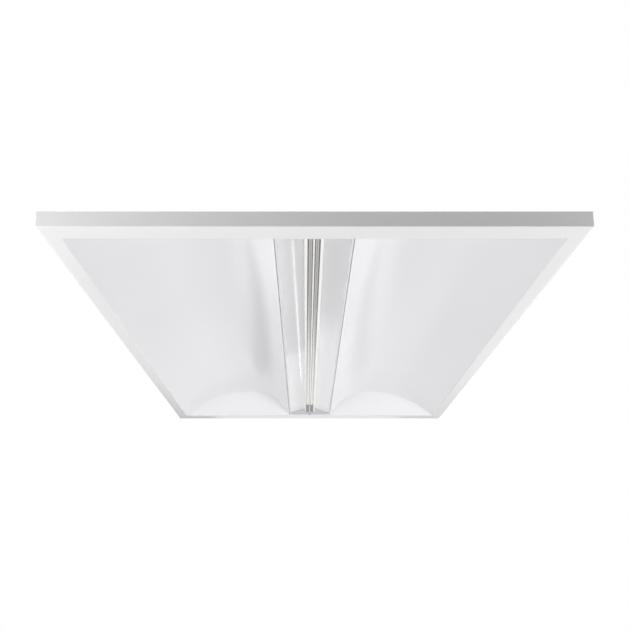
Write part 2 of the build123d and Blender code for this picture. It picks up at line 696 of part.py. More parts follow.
def make_gear_box():
    """The open box on the roof, its hinged cover, and what they turn and latch on."""
    outside = block((-box_x, box_x), (BOX_FRONT_Y, box_rear_y), (roof_top, box_rim))
    inner_x = box_x - SHEET
    hollow = block(
        (-inner_x, inner_x),
        (BOX_FRONT_Y + SHEET, box_rear_y - SHEET),
        (box_floor, box_rim + SHEET),
    )
    box = outside - hollow
    middle_y = (BOX_FRONT_Y + box_rear_y) / 2
    tongue_top = cover_under - TONGUE_DROP + TONGUE[2]
    catch_low = tongue_top + CATCH_CLEAR
    catch = about(middle_y, CATCH[1])
    box += block((inner_x - CATCH[0], inner_x), catch, (catch_low, catch_low + SHEET))
    box -= rod(CONDUIT_RADIUS, (0, BOX_FRONT_Y - SHEET, conduit_z), 3 * SHEET, ALONG)
    box -= rod(CONDUIT_RADIUS, (0, box_rear_y - 2 * SHEET, conduit_z), 3 * SHEET, ALONG)
    box -= lead_hole(bushing_radius + FIT, ROOF_UNDERSIDE, box_floor + SHEET)
    places = box_screw_places() + driver_places() + [earth_place()]
    box -= screw_holes(places, ROOF_UNDERSIDE, box_floor + SHEET)

    lip_x = box_x + COVER_GAP
    cover = block(
        (hinge_x, lip_x + SHEET),
        (BOX_FRONT_Y - COVER_GAP - SHEET, box_rear_y + COVER_GAP + SHEET),
        (cover_under, cover_under + SHEET),
    )
    lip_z = (cover_under - COVER_LIP, cover_under)
    cover += block((lip_x, lip_x + SHEET), (BOX_FRONT_Y - COVER_GAP, box_rear_y + COVER_GAP), lip_z)
    for y in (BOX_FRONT_Y - COVER_GAP - SHEET, box_rear_y + COVER_GAP):
        cover += block((-box_x, lip_x + SHEET), (y, y + SHEET), lip_z)
    turn_x = box_x - TURN_INSET
    turn_hole = TURN_STUD_RADIUS + PIN_GAP
    cover -= rod(turn_hole, (turn_x, middle_y, cover_under - SHEET), 3 * SHEET)

    for i, (y0, y1) in enumerate(knuckle_spans()):
        tube = rod(HINGE_RADIUS, (hinge_x, y0, hinge_z), y1 - y0, ALONG)
        if i % 2:
            leaf = block(about(hinge_x, SHEET), (y0, y1), (hinge_z, cover_under))
            cover += tube + leaf
        else:
            leaf = block((hinge_x, -box_x), (y0, y1), (hinge_z - SHEET, hinge_z))
            box += tube + leaf
    bore = rod(HINGE_PIN_RADIUS + PIN_GAP, (hinge_x, BOX_FRONT_Y, hinge_z), BOX_LENGTH, ALONG)
    cover -= bore
    box -= bore
    spans = knuckle_spans()
    end_radius, end_length = PIN_END
    pin_ends = (spans[0][0] - RUNNING_GAP, spans[-1][1] + RUNNING_GAP)
    pin = rod(HINGE_PIN_RADIUS, (hinge_x, pin_ends[0], hinge_z), pin_ends[1] - pin_ends[0], ALONG)
    for y in (pin_ends[0] - end_length, pin_ends[1]):
        pin += rod(end_radius, (hinge_x, y, hinge_z), end_length, ALONG)

    plug_radius = CONDUIT_RADIUS - RUNNING_GAP
    inside = box_rear_y - BLANK_DEPTH
    blank = rod(CONDUIT_RADIUS + BLANK_RIM, (0, box_rear_y, conduit_z), SHEET, ALONG)
    blank += rod(plug_radius, (0, inside, conduit_z), BLANK_DEPTH, ALONG)
    blank -= rod(plug_radius - SHEET, (0, inside - SHEET, conduit_z), BLANK_DEPTH + SHEET, ALONG)
    save(
        gear_box=box,
        gear_cover=cover,
        cover_hinge_pin=pin,
        knockout_blank=blank,
        gear_box_screws=Compound([screw(x, y, box_floor) for x, y in box_screw_places()]),
    )


def make_turn_button():
    """The cover's turn button, drawn released, its tongue lying along the box."""
    x = box_x - TURN_INSET
    y = (BOX_FRONT_Y + box_rear_y) / 2
    top = cover_under + SHEET + LATCH_GAP
    radius, height = TURN_BUTTON
    button = rod(radius, (x, y, top), height)
    button = fillet(button.edges().sort_by(Axis.Z)[-1], SCREW_EDGE)
    length, width, rise = TURN_GRIP
    grip = block(about(x, width), about(y, length), (top + height, top + height + rise))
    low = cover_under - TONGUE_DROP
    stud = rod(TURN_STUD_RADIUS, (x, y, low), top - low)
    reach, broad, thick = TONGUE
    tongue = block(about(x, broad), (y - broad / 2, y + reach), (low, low + thick))
    save(cover_turn_button=button + grip + stud + tongue)


# ---- Driver, terminals and leads ---------------------------------------------------------
def make_driver():
    """The LED driver with its ears and lead sockets, and its two screws."""
    wide, _, tall = DRIVER
    length = (driver_front_y, driver_rear_y)
    body = block(about(driver_x, wide), length, (box_floor, box_floor + tall))
    body = fillet(body.edges().filter_by(Axis.Y), DRIVER_EDGE)
    ear_wide, ear_long, ear_thick = EAR
    seat = box_floor + ear_thick
    for y in (driver_front_y - ear_long, driver_rear_y):
        body += block(about(driver_x, ear_wide), (y, y + ear_long), (box_floor, seat))
    body -= screw_holes(driver_places(), roof_top, seat + ear_thick)
    socket_wide, socket_deep, socket_tall = DRIVER_SOCKET
    z = about(box_floor + LEAD_HIGH, socket_tall)
    sockets = [
        block(about(driver_x, socket_wide), (y, y + socket_deep), z)
        for y in (driver_front_y - socket_deep, driver_rear_y)
    ]
    save(
        led_driver=body,
        driver_sockets=Compound(sockets),
        driver_screws=Compound([screw(x, y, seat) for x, y in driver_places()]),
    )


def pole_places():
    """X of each terminal pole."""
    return [(i - (POLES - 1) / 2) * POLE_PITCH for i in range(POLES)]


def make_terminals():
    """The mains terminal block, a lever on each pole, and the earth screw."""
    wide, deep, tall = BLOCK
    front = block_front_y
    rear = front + deep
    top = box_floor + tall
    body = block(about(0, wide), (front, rear), (box_floor, top))
    axle_y = front + LEVER_AXLE_INSET
    axle_z = top - LEVER_AXLE_DROP
    lever_wide, lever_long, lever_thick = LEVER
    heel = axle_y - LEVER_BACK
    port_wide, port_deep, port_tall = PORT
    port_z = box_floor + PORT_LIFT
    levers = []
    for x in pole_places():
        recess = about(x, lever_wide + 2 * LEVER_GAP)
        body -= block(recess, (front + LEVER_WALL, rear + SHEET), (top - LEVER_SINK, top + SHEET))
        lever = block(about(x, lever_wide), (heel, heel + lever_long), about(axle_z, lever_thick))
        pins = lever_wide + 2 * LEVER_PIN
        lever += rod(LEVER_AXLE_RADIUS, (x - pins / 2, axle_y, axle_z), pins, ACROSS)
        levers.append(lever)
        port_y = (front - SHEET, front + port_deep)
        body -= block(about(x, port_wide), port_y, (port_z, port_z + port_tall))
        lead_start = (x, rear - LEAD_INSERT - FIT, box_floor + LEAD_LOW)
        body -= rod(LEAD_RADIUS + FIT, lead_start, LEAD_INSERT + SHEET, ALONG)
    body -= rod(LEVER_AXLE_RADIUS + PIN_GAP, (-wide, axle_y, axle_z), 2 * wide, ACROSS)
    save(
        terminal_block=body,
        terminal_lever_live=levers[0],
        terminal_lever_neutral=levers[1],
        terminal_lever_earth=levers[2],
        earth_screw=screw(*earth_place(), box_floor),
    )


def lead(points):
    """A round lead along straight runs joined by tangent arcs."""
    path = FilletPolyline(*points, radius=LEAD_BEND)
    start = Plane(origin=path @ 0, z_dir=path % 0)
    return sweep(start * Circle(LEAD_RADIUS), path=path)


def make_leads():
    """Input leads to the driver, output leads down to the contacts, and their bushing."""
    low = box_floor + LEAD_LOW
    high = box_floor + LEAD_HIGH
    start = block_front_y + BLOCK[1] - LEAD_INSERT
    finish = driver_front_y - DRIVER_SOCKET[1]
    inputs = []
    for i, x in enumerate(pole_places()):
        to_x = driver_x + (i - (POLES - 1) / 2) * LEAD_PITCH
        inputs.append(lead([
            (x, start, low),
            (x, start + LEAD_STUB, low),
            (to_x, finish - LEAD_STUB, high),
            (to_x, finish, high),
        ]))
    outputs = []
    for side in (-1, 1):
        x = driver_x + side * LEAD_PITCH / 2
        socket_face = driver_rear_y + DRIVER_SOCKET[1]
        outputs.append(lead([(x, socket_face, high), (x, dock_y, high), (x, dock_y, socket_top)]))
    bushing = rod(bushing_radius, (driver_x, dock_y, ROOF_UNDERSIDE), box_floor - ROOF_UNDERSIDE)
    bushing += rod(bushing_radius + BUSHING_RIM, (driver_x, dock_y, box_floor), BUSHING_RIM_HEIGHT)
    bushing -= rod(BUSHING_BORE, (driver_x, dock_y, socket_top), BOX_HEIGHT)
    save(input_leads=Compound(inputs), output_leads=Compound(outputs), lead_bushing=bushing)


# ---- Grid clips --------------------------------------------------------------------------
def make_clips():
    """Four clips that swing out over the ceiling grid, and the rivets they turn on."""
    low = SHELF_TOP + CLIP_GAP
    high = low + CLIP_THICKNESS
    x = wall_x + CLIP_PIVOT
    tip = CLIP_Y - CLIP_LENGTH
    wide = about(x, CLIP_WIDTH)
    clip = block(wide, (tip, CLIP_Y), (low, high))
    clip += rod(CLIP_WIDTH / 2, (x, CLIP_Y, low), CLIP_THICKNESS)
    clip += block(wide, (tip, tip + CLIP_THICKNESS), (low - CLIP_HOOK, low))
    clip -= rod(RIVET_RADIUS + PIN_GAP, (x, CLIP_Y, SHELF_TOP), SHELF_TOP)
    head_radius, head_height = RIVET_HEAD
    foot = SHELF_TOP - SHEET
    rivet = rod(RIVET_RADIUS, (x, CLIP_Y, foot), high + CLIP_GAP - foot)
    rivet += rod(head_radius, (x, CLIP_Y, high + CLIP_GAP), head_height)
    rivet += rod(head_radius, (x, CLIP_Y, foot - head_height), head_height)
    rivets = [rivet, to_left(rivet), to_front(rivet), to_left(to_front(rivet))]
    save(
        grid_clip_rear_right=clip,
        grid_clip_rear_left=to_left(clip),
        grid_clip_front_right=to_front(clip),
        grid_clip_front_left=to_left(to_front(clip)),
        clip_rivets=Compound(rivets),
    )


def main():
    """Build every piece and write one file for each."""
    os.makedirs("parts", exist_ok=True)
    make_frame()
    make_housing()
    make_reflectors()
    make_tunnel()
    make_tray()
    make_spine()
    make_lighting()
    make_latch()
    make_contacts()
    make_gear_box()
    make_turn_button()
    make_driver()
    make_terminals()
    make_leads()
    make_clips()


main()
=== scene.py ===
"""Recessed lay-in ceiling light, seen from below: surfaces, finishes and a plain studio.

The light hangs in the row frame: X across it, Y along it, Z up into the ceiling, origin under its
middle on the plane of the frame's underside. Shapes are worked out in millimetres and put into
meshes in metres. "Rear" is the +Y end and "front" the -Y end, where the optic hangs when let down.
"""
import logging
from collections.abc import Iterable, Sequence
from dataclasses import dataclass, field
from enum import Enum

import bmesh
import bpy
import numpy as np
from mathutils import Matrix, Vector


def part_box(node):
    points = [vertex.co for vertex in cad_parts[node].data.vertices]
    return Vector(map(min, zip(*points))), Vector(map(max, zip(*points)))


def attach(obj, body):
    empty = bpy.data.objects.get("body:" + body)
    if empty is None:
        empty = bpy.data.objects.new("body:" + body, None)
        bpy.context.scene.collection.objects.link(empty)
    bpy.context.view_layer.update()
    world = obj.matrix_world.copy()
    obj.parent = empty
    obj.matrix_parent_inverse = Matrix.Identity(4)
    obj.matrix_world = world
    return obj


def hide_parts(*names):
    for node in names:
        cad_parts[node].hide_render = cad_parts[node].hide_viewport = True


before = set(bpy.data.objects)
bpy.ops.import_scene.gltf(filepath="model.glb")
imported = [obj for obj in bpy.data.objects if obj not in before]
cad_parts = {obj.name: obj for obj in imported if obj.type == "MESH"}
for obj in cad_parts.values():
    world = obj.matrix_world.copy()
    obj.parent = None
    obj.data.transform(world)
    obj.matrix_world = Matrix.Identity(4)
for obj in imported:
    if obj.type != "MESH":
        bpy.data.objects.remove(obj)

MM = 0.001
WELD = 1e-6  # Points nearer than this, in metres, are one.
WHITE = (1.0, 1.0, 1.0, 1.0)
LOG = logging.getLogger("troffer")

Tree = bpy.types.NodeTree
Node = bpy.types.Node
Socket = bpy.types.NodeSocket
Pair = tuple[float, float]
Triple = tuple[float, float, float]
Copies = dict[str, tuple[int, ...]]

# Where a piece has copies: each one's name, and the axes that it is mirrored on.
ALONE: Copies = {"": ()}
SIDES: Copies = {"right": (), "left": (0,)}
ENDS: Copies = {"rear": (), "front": (1,)}
CORNERS: Copies = {"rear_right": (), "rear_left": (0,), "front_right": (1,), "front_left": (0, 1)}


# ---- Shapes ------------------------------------------------------------------------------
@dataclass
class Shell:
    """A closed surface in millimetres.

    Attributes:
        points: One row of x, y, z for each vertex.
        quads: One row of four vertex numbers for each face.
        caps: Flat faces with any number of corners.
    """

    points: np.ndarray
    quads: np.ndarray
    caps: list[list[int]] = field(default_factory=list)

    def mirrored(self, axis: int) -> "Shell":
        """The same surface on the other side of the plane through the origin, square to an axis."""
        flip = np.ones(3)
        flip[axis] = -1.0
        return Shell(self.points * flip, self.quads[:, ::-1], [cap[::-1] for cap in self.caps])

    def doubled(self, axis: int = 0) -> "Shell":
        """The surface together with its mirror image."""
        return joined([self, self.mirrored(axis)])

    def moved(self, offset: Sequence[float]) -> "Shell":
        """The same surface, moved."""
        return Shell(self.points + np.asarray(offset, float), self.quads, self.caps)

    def turned(self, first: int, second: int) -> "Shell":
        """A quarter turn that takes one axis to another, about the origin."""
        points = self.points.copy()
        points[:, second] = self.points[:, first]
        points[:, first] = -self.points[:, second]
        return Shell(points, self.quads, self.caps)


def joined(shells: Iterable[Shell]) -> Shell:
    """Several surfaces as one."""
    points, quads, caps, start = [], [], [], 0
    for shell in shells:
        points.append(shell.points)
        quads.append(shell.quads + start)
        caps += [[start + i for i in cap] for cap in shell.caps]
        start += len(shell.points)
    return Shell(np.concatenate(points), np.concatenate(quads), caps)


def ringed(rings: np.ndarray, capped: bool = True) -> Shell:
    """Closed rings of points, each joined to the next by quads.

    The surface is S(u, v) = rings[u, v], where v runs round a ring and comes back to its start.

    Args:
        rings: Points as an array of rings, of points in a ring, of x, y, z.
        capped: Whether flat faces close the first and last ring.

    Returns:
        The surface.
    """
    count, width, _ = rings.shape
    here = np.arange(count * width).reshape(count, width)
    there = np.roll(here, -1, axis=1)
    quads = np.stack([here[:-1], there[:-1], there[1:], here[1:]], axis=-1).reshape(-1, 4)
    caps = [here[0, ::-1].tolist(), here[-1].tolist()] if capped else []
    return Shell(rings.reshape(-1, 3).astype(float), quads, caps)


def prism(
    outline: np.ndarray, starts: np.ndarray | float, ends: np.ndarray | float, axis: int = 1
) -> Shell:
    """An outline carried straight along an axis, point p from starts[p] to ends[p].

    Args:
        outline: Points of the closed outline, on the two other axes in order.
        starts: Where each point's line starts on the axis, or all of them.
        ends: Where it ends, or all of them do.
        axis: The axis that the outline is carried along.

    Returns:
        The closed prism.
    """
    others = [i for i in range(3) if i != axis]
    rings = np.zeros((2, len(outline), 3))
    rings[:, :, others] = outline
    rings[0, :, axis] = starts
    rings[1, :, axis] = ends
    return ringed(rings)


def arc(centre: Sequence[float], radius: float, start: float, end: float, steps: int) -> np.ndarray:
    """Points of an arc, centre + radius (cos a, sin a), with its angles a in degrees."""
    angles = np.radians(np.linspace(start, end, steps))
    return np.asarray(centre) + radius * np.stack([np.cos(angles), np.sin(angles)], axis=-1)


def rounded_outline(low: Sequence[float], high: Sequence[float], radius: float, steps: int) -> np.ndarray:
    """A rectangle with an arc of the same radius at each corner, anticlockwise."""
    x0, y0, x1, y1 = low[0] + radius, low[1] + radius, high[0] - radius, high[1] - radius
    corners = {0.0: (x1, y1), 90.0: (x0, y1), 180.0: (x0, y0), 270.0: (x1, y0)}
    return np.concatenate([arc(c, radius, a, a + 90.0, steps) for a, c in corners.items()])


def block(low: Sequence[float], high: Sequence[float]) -> Shell:
    """A plain block between two corners."""
    outline = np.array([(low[0], low[2]), (high[0], low[2]), (high[0], high[2]), (low[0], high[2])])
    return prism(outline, low[1], high[1])


def eased_block(
    low: Sequence[float], high: Sequence[float], corner: float, edge: float, steps: int = 5
) -> Shell:
    """A block with rounded upright corners and eased top and bottom edges.

    Ring k is the plan outline drawn in by edge (1 - cos t) at height edge (1 - sin t), with t from
    a right angle to nought at the bottom and back again at the top.

    Args:
        low: Lowest corner.
        high: Highest corner.
        corner: Radius of the upright corners.
        edge: Radius of the top and bottom edges, smaller than the corner's.
        steps: Points in each rounding.

    Returns:
        The closed block.
    """
    turn = np.radians(np.linspace(90.0, 0.0, steps))
    inset = edge * (1 - np.cos(turn))
    rise = edge * (1 - np.sin(turn))
    heights = np.concatenate([low[2] + rise, high[2] - rise[::-1]])
    rings = []
    for draw, height in zip(np.concatenate([inset, inset[::-1]]), heights):
        start, end = (low[0] + draw, low[1] + draw), (high[0] - draw, high[1] - draw)
        plan = rounded_outline(start, end, corner - draw, steps)
        rings.append(np.column_stack([plan, np.full(len(plan), height)]))
    return ringed(np.stack(rings))


def turned_part(profile: Sequence[Pair], steps: int, hollow: bool = False) -> Shell:
    """A profile turned about Z: S(u, a) = (r(u) cos a, r(u) sin a, h(u)).

    Args:
        profile: Pairs of radius and height, from the bottom up.
        steps: Points round the part.
        hollow: Whether the profile closes on itself round a bore, or has a flat face at each end.

    Returns:
        The closed surface.
    """
    angles = np.linspace(0.0, 2 * np.pi, steps, endpoint=False)
    rim = profile[:1] if hollow else []
    radius, height = np.array([*profile, *rim], float).T
    rings = np.zeros((len(radius), steps, 3))
    rings[:, :, 0] = np.outer(radius, np.cos(angles))
    rings[:, :, 1] = np.outer(radius, np.sin(angles))
    rings[:, :, 2] = height[:, None]
    return ringed(rings, not hollow)


def two_headed(head: Sequence[Pair], start: float, stop: float, steps: int) -> Shell:
    """A turned part with the same head at both ends.

    Args:
        head: Pairs of radius and distance from the part's end, from the end inwards.
        start: Height of the part's lower end.
        stop: Height of its upper end.
        steps: Points round the part.

    Returns:
        The closed surface.
    """
    lower = [(radius, start + depth) for radius, depth in head]
    return turned_part(lower + [(radius, stop - depth) for radius, depth in reversed(head)], steps)


def slotted_head(radius: float, height: float, slot: Sequence[float], steps: int = 11) -> Shell:
    """A domed screw head cut across by a slot, standing on the origin.

    Below the slot's floor the head is a disc. Above it each half is a stack of circle segments: at
    the share s of the height, the circle's radius is r(s), and the segment is what lies more than
    half a slot from the middle.

    Args:
        radius: Radius of the head.
        height: Height of the head.
        slot: Width and depth of the slot.
        steps: Points along each segment's arc.

    Returns:
        The head, as a disc and two halves set slightly into it.
    """
    wide, deep = slot
    floor, bevel = height - deep, 0.03 * height
    disc = turned_part([(radius * 0.97, 0.0), (radius, bevel), (radius, floor)], 28)
    dome = [(1.0, 0.5), (0.97, 0.7), (0.89, 0.86), (0.72, 0.96), (0.45, 1.0)]
    rings = []
    for size, level in [(radius, floor - bevel)] + [(radius * r, height * s) for r, s in dome]:
        half = np.degrees(np.arccos(wide / 2 / size))
        ring = arc((0.0, 0.0), size, -half, half, steps)
        rings.append(np.column_stack([ring, np.full(steps, level)]))
    return joined([disc, ringed(np.stack(rings)).doubled()])


def ribbon(path: np.ndarray, thickness: float, half_widths: np.ndarray) -> Shell:
    """A strip of sheet bent in the plane of Y and Z.

    S(i, corner) = (+-w_i, p_i +- n_i t / 2), where p_i are the path's points, n_i is square to the
    path there, w_i is half the strip's width and t its thickness.

    Args:
        path: Points (y, z) of the middle of the sheet.
        thickness: Thickness of the sheet.
        half_widths: Half the strip's width at each point.

    Returns:
        The closed strip, centred on X.
    """
    run = np.gradient(path, axis=0)
    run /= np.linalg.norm(run, axis=1)[:, None]
    normal = np.column_stack([-run[:, 1], run[:, 0]]) * thickness / 2
    rings = np.zeros((len(path), 4, 3))
    rings[:, :, 0] = half_widths[:, None] * np.array([-1.0, 1.0, 1.0, -1.0])
    rings[:, :2, 1:] = (path - normal)[:, None]
    rings[:, 2:, 1:] = (path + normal)[:, None]
    return ringed(rings)


def span(node: str) -> tuple[np.ndarray, np.ndarray]:
    """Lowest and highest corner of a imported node, in millimetres."""
    low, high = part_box(node)
    return np.array(low) / MM, np.array(high) / MM


# ---- Finishes ----------------------------------------------------------------------------
def linear(hex_colour: str) -> tuple[float, float, float, float]:
    """A colour written as sRGB hex, as the linear colour that a shader takes."""
    code = hex_colour.lstrip("#")
    srgb = np.array([int(code[i:i + 2], 16) for i in (0, 2, 4)]) / 255.0
    value = np.where(srgb <= 0.04045, srgb / 12.92, ((srgb + 0.055) / 1.055) ** 2.4)
    return (*value.tolist(), 1.0)


def add_node(tree: Tree, kind: str, settings: dict | None = None, inputs: dict | None = None) -> Node:
    """Adds a node with its settings and inputs.

    Args:
        tree: The node tree.
        kind: The node's type, without the words ShaderNode.
        settings: Values of the node's own properties.
        inputs: Values or output sockets for its inputs, by name or number.

    Returns:
        The node.
    """
    node = tree.nodes.new("ShaderNode" + kind)
    for name, value in (settings or {}).items():
        setattr(node, name, value)
    for name, value in (inputs or {}).items():
        if isinstance(value, Socket):
            tree.links.new(value, node.inputs[name])
        else:
            node.inputs[name].default_value = value
    return node


def cleared(owner: bpy.types.Material | bpy.types.World) -> Tree:
    """Turns on a material's or world's nodes and takes out those that it came with."""
    owner.use_nodes = True
    owner.node_tree.nodes.clear()
    return owner.node_tree


def faded(tree: Tree, value: Socket, ends: Sequence[float], colours: Sequence[Sequence[float]]) -> Socket:
    """A colour that turns into another as a value rises.

    Args:
        tree: The node tree.
        value: The value's socket.
        ends: Where the first colour starts to turn, and where only the second is left.
        colours: The two linear colours.

    Returns:
        The colour's socket.
    """
    limits = {"Value": value, "From Min": ends[0], "From Max": ends[1]}
    share = add_node(tree, "MapRange", inputs=limits).outputs["Result"]
    mix = {0: share, 6: colours[0], 7: colours[1]}
    return add_node(tree, "Mix", {"data_type": "RGBA"}, mix).outputs[2]


def per_mm(size: float) -> float:
    """A pattern scale, per metre, for features of some size in millimetres."""
    return 1.0 / (size * MM)


@dataclass(frozen=True)
class Finish:
    """What every finish has: a name, a colour, and how rough and how metallic it is.

    Attributes:
        name: Material name.
        slot: The record's material slot that it comes from.
        colour: sRGB hex colour.
        roughness: Microfacet roughness.
        metallic: 1 for a bare metal and 0 for anything else.
        shift: Share by which the colour drifts over the surface.
        drift: Size of that drift, in millimetres.
        grain: Size of the surface's own texture, in millimetres.
        relief: Depth of that texture, in millimetres.
    """

    name: str
    slot: str
    colour: str
    roughness: float
    metallic: float = 0.0
    shift: float = 0.01
    drift: float = 90.0
    grain: float = 1.2
    relief: float = 0.004

    def texture(self, tree: Tree, place: Socket) -> Socket:
        """Height of the surface's own texture, from 0 to 1."""
        inputs = {"Vector": place, "Scale": per_mm(self.grain), "Detail": 3.0}
        return add_node(tree, "TexNoise", inputs=inputs).outputs["Fac"]

    def tint(self, tree: Tree, place: Socket) -> Socket:
        """The colour, drifting slightly over the surface between two shades of a cloud."""
        inputs = {"Vector": place, "Scale": per_mm(self.drift), "Detail": 2.0}
        cloud = add_node(tree, "TexNoise", inputs=inputs).outputs["Fac"]
        full = linear(self.colour)
        low = (*(value * (1 - self.shift) for value in full[:3]), 1.0)
        return faded(tree, cloud, (0.3, 0.7), (low, full))

    def shader(self, tree: Tree, place: Socket) -> Node:
        """The surface shader, with its own sockets set."""
        inputs = {"Height": self.texture(tree, place), "Distance": self.relief * MM, "Strength": 1.0}
        bump = add_node(tree, "Bump", inputs=inputs)
        inputs = {
            "Base Color": self.tint(tree, place),
            "Roughness": self.roughness,
            "Metallic": self.metallic,
            "Normal": bump.outputs["Normal"],
        }
        return add_node(tree, "BsdfPrincipled", inputs=inputs)

    def surface(self, tree: Tree) -> Socket:
        """What the material shows, with its patterns read at the piece's place in the row frame."""
        return self.shader(tree, add_node(tree, "TexCoord").outputs["Object"]).outputs["BSDF"]

    def material(self) -> bpy.types.Material:
        """The finish as a material, made once."""
        made = bpy.data.materials.get(self.name)
        if made is None:
            made = bpy.data.materials.new(self.name)
            tree = cleared(made)
            add_node(tree, "OutputMaterial", inputs={"Surface": self.surface(tree)})
        return made


@dataclass(frozen=True)
class BakedEnamel(Finish):
    """Wet enamel, sprayed and baked: an even gloss film with faint orange peel.

    Attributes:
        coat: Weight of the clear gloss on top.
        coat_roughness: That gloss's roughness.
    """

    coat: float = 0.3
    coat_roughness: float = 0.12

    def shader(self, tree: Tree, place: Socket) -> Node:
        """The paint under a thin glossy film."""
        node = super().shader(tree, place)
        node.inputs["Coat Weight"].default_value = self.coat
        node.inputs["Coat Roughness"].default_value = self.coat_roughness
        return node


@dataclass(frozen=True)
class PowderCoat(Finish):
    """Powder paint, melted on: satin, with a fine pebbled skin."""

    def texture(self, tree: Tree, place: Socket) -> Socket:
        """Rounded pebbles: the distance to the nearest of scattered points."""
        inputs = {"Vector": place, "Scale": per_mm(self.grain), "Smoothness": 0.6}
        return add_node(tree, "TexVoronoi", {"feature": "SMOOTH_F1"}, inputs).outputs["Distance"]


@dataclass(frozen=True)
class BareMetal(Finish):
    """Metal with nothing over it but its own skin, rougher in some places than in others.

    Attributes:
        spread: The least and the most roughness, as shares of the finish's own.
    """

    spread: Pair = (0.8, 1.25)

    def pattern(self, tree: Tree, place: Socket) -> Socket:
        """What the roughness follows, from 0 to 1: the surface's own texture."""
        return self.texture(tree, place)

    def shader(self, tree: Tree, place: Socket) -> Node:
        """The metal, between its least and its most roughness."""
        node = super().shader(tree, place)
        least, most = (share * self.roughness for share in self.spread)
        inputs = {"Value": self.pattern(tree, place), "To Min": least, "To Max": most}
        rough = add_node(tree, "MapRange", inputs=inputs).outputs["Result"]
        tree.links.new(rough, node.inputs["Roughness"])
        return node


@dataclass(frozen=True)
class DrawnMetal(BareMetal):
    """Bare metal drawn, rolled or extruded one way: fine lines run along it.

    Attributes:
        run: How many times longer than wide the lines are.
    """

    run: float = 400.0

    def texture(self, tree: Tree, place: Socket) -> Socket:
        """Noise stretched into lines along Y."""
        scale = (1.0, 1.0 / self.run, 1.0)
        stretched = add_node(tree, "Mapping", inputs={"Vector": place, "Scale": scale})
        return super().texture(tree, stretched.outputs["Vector"])


@dataclass(frozen=True)
class Galvanised(BareMetal):
    """Hot-dip galvanised sheet: flat zinc crystals, each catching the light its own way.

    Attributes:
        spangle: Size of a crystal, in millimetres.
        waver: How far and how often the crystals' edges wander, in millimetres.
        pale: sRGB hex colour of the brightest crystals.
    """

    spread: Pair = (0.85, 1.2)
    spangle: float = 6.0
    waver: float = 4.0
    pale: str = "#c1c5c8"

    def crystals(self, tree: Tree, place: Socket) -> bpy.types.bpy_prop_collection:
        """Random numbers, by name, for each cell about scattered points, its edges bent by noise."""
        inputs = {"Vector": place, "Scale": per_mm(self.waver)}
        wander = add_node(tree, "TexNoise", inputs=inputs).outputs["Color"]
        inputs = {0: self.waver * MM, 4: place, 5: wander}
        bent = add_node(tree, "Mix", {"data_type": "VECTOR"}, inputs).outputs[1]
        inputs = {"Vector": bent, "Scale": per_mm(self.spangle)}
        cell = add_node(tree, "TexVoronoi", inputs=inputs).outputs["Color"]
        return add_node(tree, "SeparateColor", inputs={"Color": cell}).outputs

    def tint(self, tree: Tree, place: Socket) -> Socket:
        """Each crystal's own grey."""
        greys = linear(self.colour), linear(self.pale)
        return faded(tree, self.crystals(tree, place)["Red"], (0.0, 1.0), greys)

    def pattern(self, tree: Tree, place: Socket) -> Socket:
        """Each crystal's own roughness."""
        return self.crystals(tree, place)["Green"]


@dataclass(frozen=True)
class ClearSheet(Finish):
    """Cast acrylic: clear, glossy, and faintly hazy where light runs through it.

    Attributes:
        haze: Share of the light that its surface scatters.
        bend: Index of refraction.
    """

    haze: float = 0.06
    bend: float = 1.49

    def shader(self, tree: Tree, place: Socket) -> Node:
        """Clear plastic with a share of plain scattering."""
        node = super().shader(tree, place)
        node.inputs["Transmission Weight"].default_value = 1.0 - self.haze
        node.inputs["IOR"].default_value = self.bend
        return node

    def surface(self, tree: Tree) -> Socket:
        """The plastic, with lamps reaching what lies behind it."""
        solid = super().surface(tree)
        through = add_node(tree, "BsdfTransparent", inputs={"Color": linear(self.colour)})
        rays = add_node(tree, "LightPath").outputs["Is Shadow Ray"]
        inputs = {0: rays, 1: solid, 2: through.outputs["BSDF"]}
        return add_node(tree, "MixShader", inputs=inputs).outputs["Shader"]


@dataclass(frozen=True)
class Moulded(Finish):
    """Injection-moulded plastic: an even colour with the mould's fine spark texture."""


@dataclass(frozen=True)
class SolderMask(Finish):
    """White solder mask over copper: a satin film, slightly raised where tracks run under it.

    Attributes:
        track: From one track to the next, in millimetres.
    """

    track: float = 4.524

    def texture(self, tree: Tree, place: Socket) -> Socket:
        """Tracks along the board, as a wave across it that repeats 10 / pi times in a unit."""
        inputs = {"Vector": place, "Scale": per_mm(self.track) * np.pi / 10}
        settings = {"bands_direction": "Z", "wave_profile": "SAW"}
        return add_node(tree, "TexWave", settings, inputs).outputs["Fac"]


@dataclass(frozen=True)
class FilmWithPaintedLight(Finish):
    """White reflector film whose colour pales towards the middle of the light: painted light.

    Attributes:
        painted_light_colour: sRGB hex colour beside the LEDs, paler there as painted light.
        near: Where that colour starts to fade, from the middle, in millimetres.
        far: Where it has faded.
    """

    painted_light_colour: str = "#fdfdfb"
    near: float = 8.0
    far: float = 34.0

    def tint(self, tree: Tree, place: Socket) -> Socket:
        """The colour by the distance from the middle of the light."""
        across = add_node(tree, "SeparateXYZ", inputs={"Vector": place}).outputs["X"]
        distance = add_node(tree, "Math", {"operation": "ABSOLUTE"}, {0: across}).outputs[0]
        ends = self.near * MM, self.far * MM
        # Painted light: the film is paler near the middle, where it should look more lit.
        return faded(tree, distance, ends, (linear(self.painted_light_colour), linear(self.colour)))


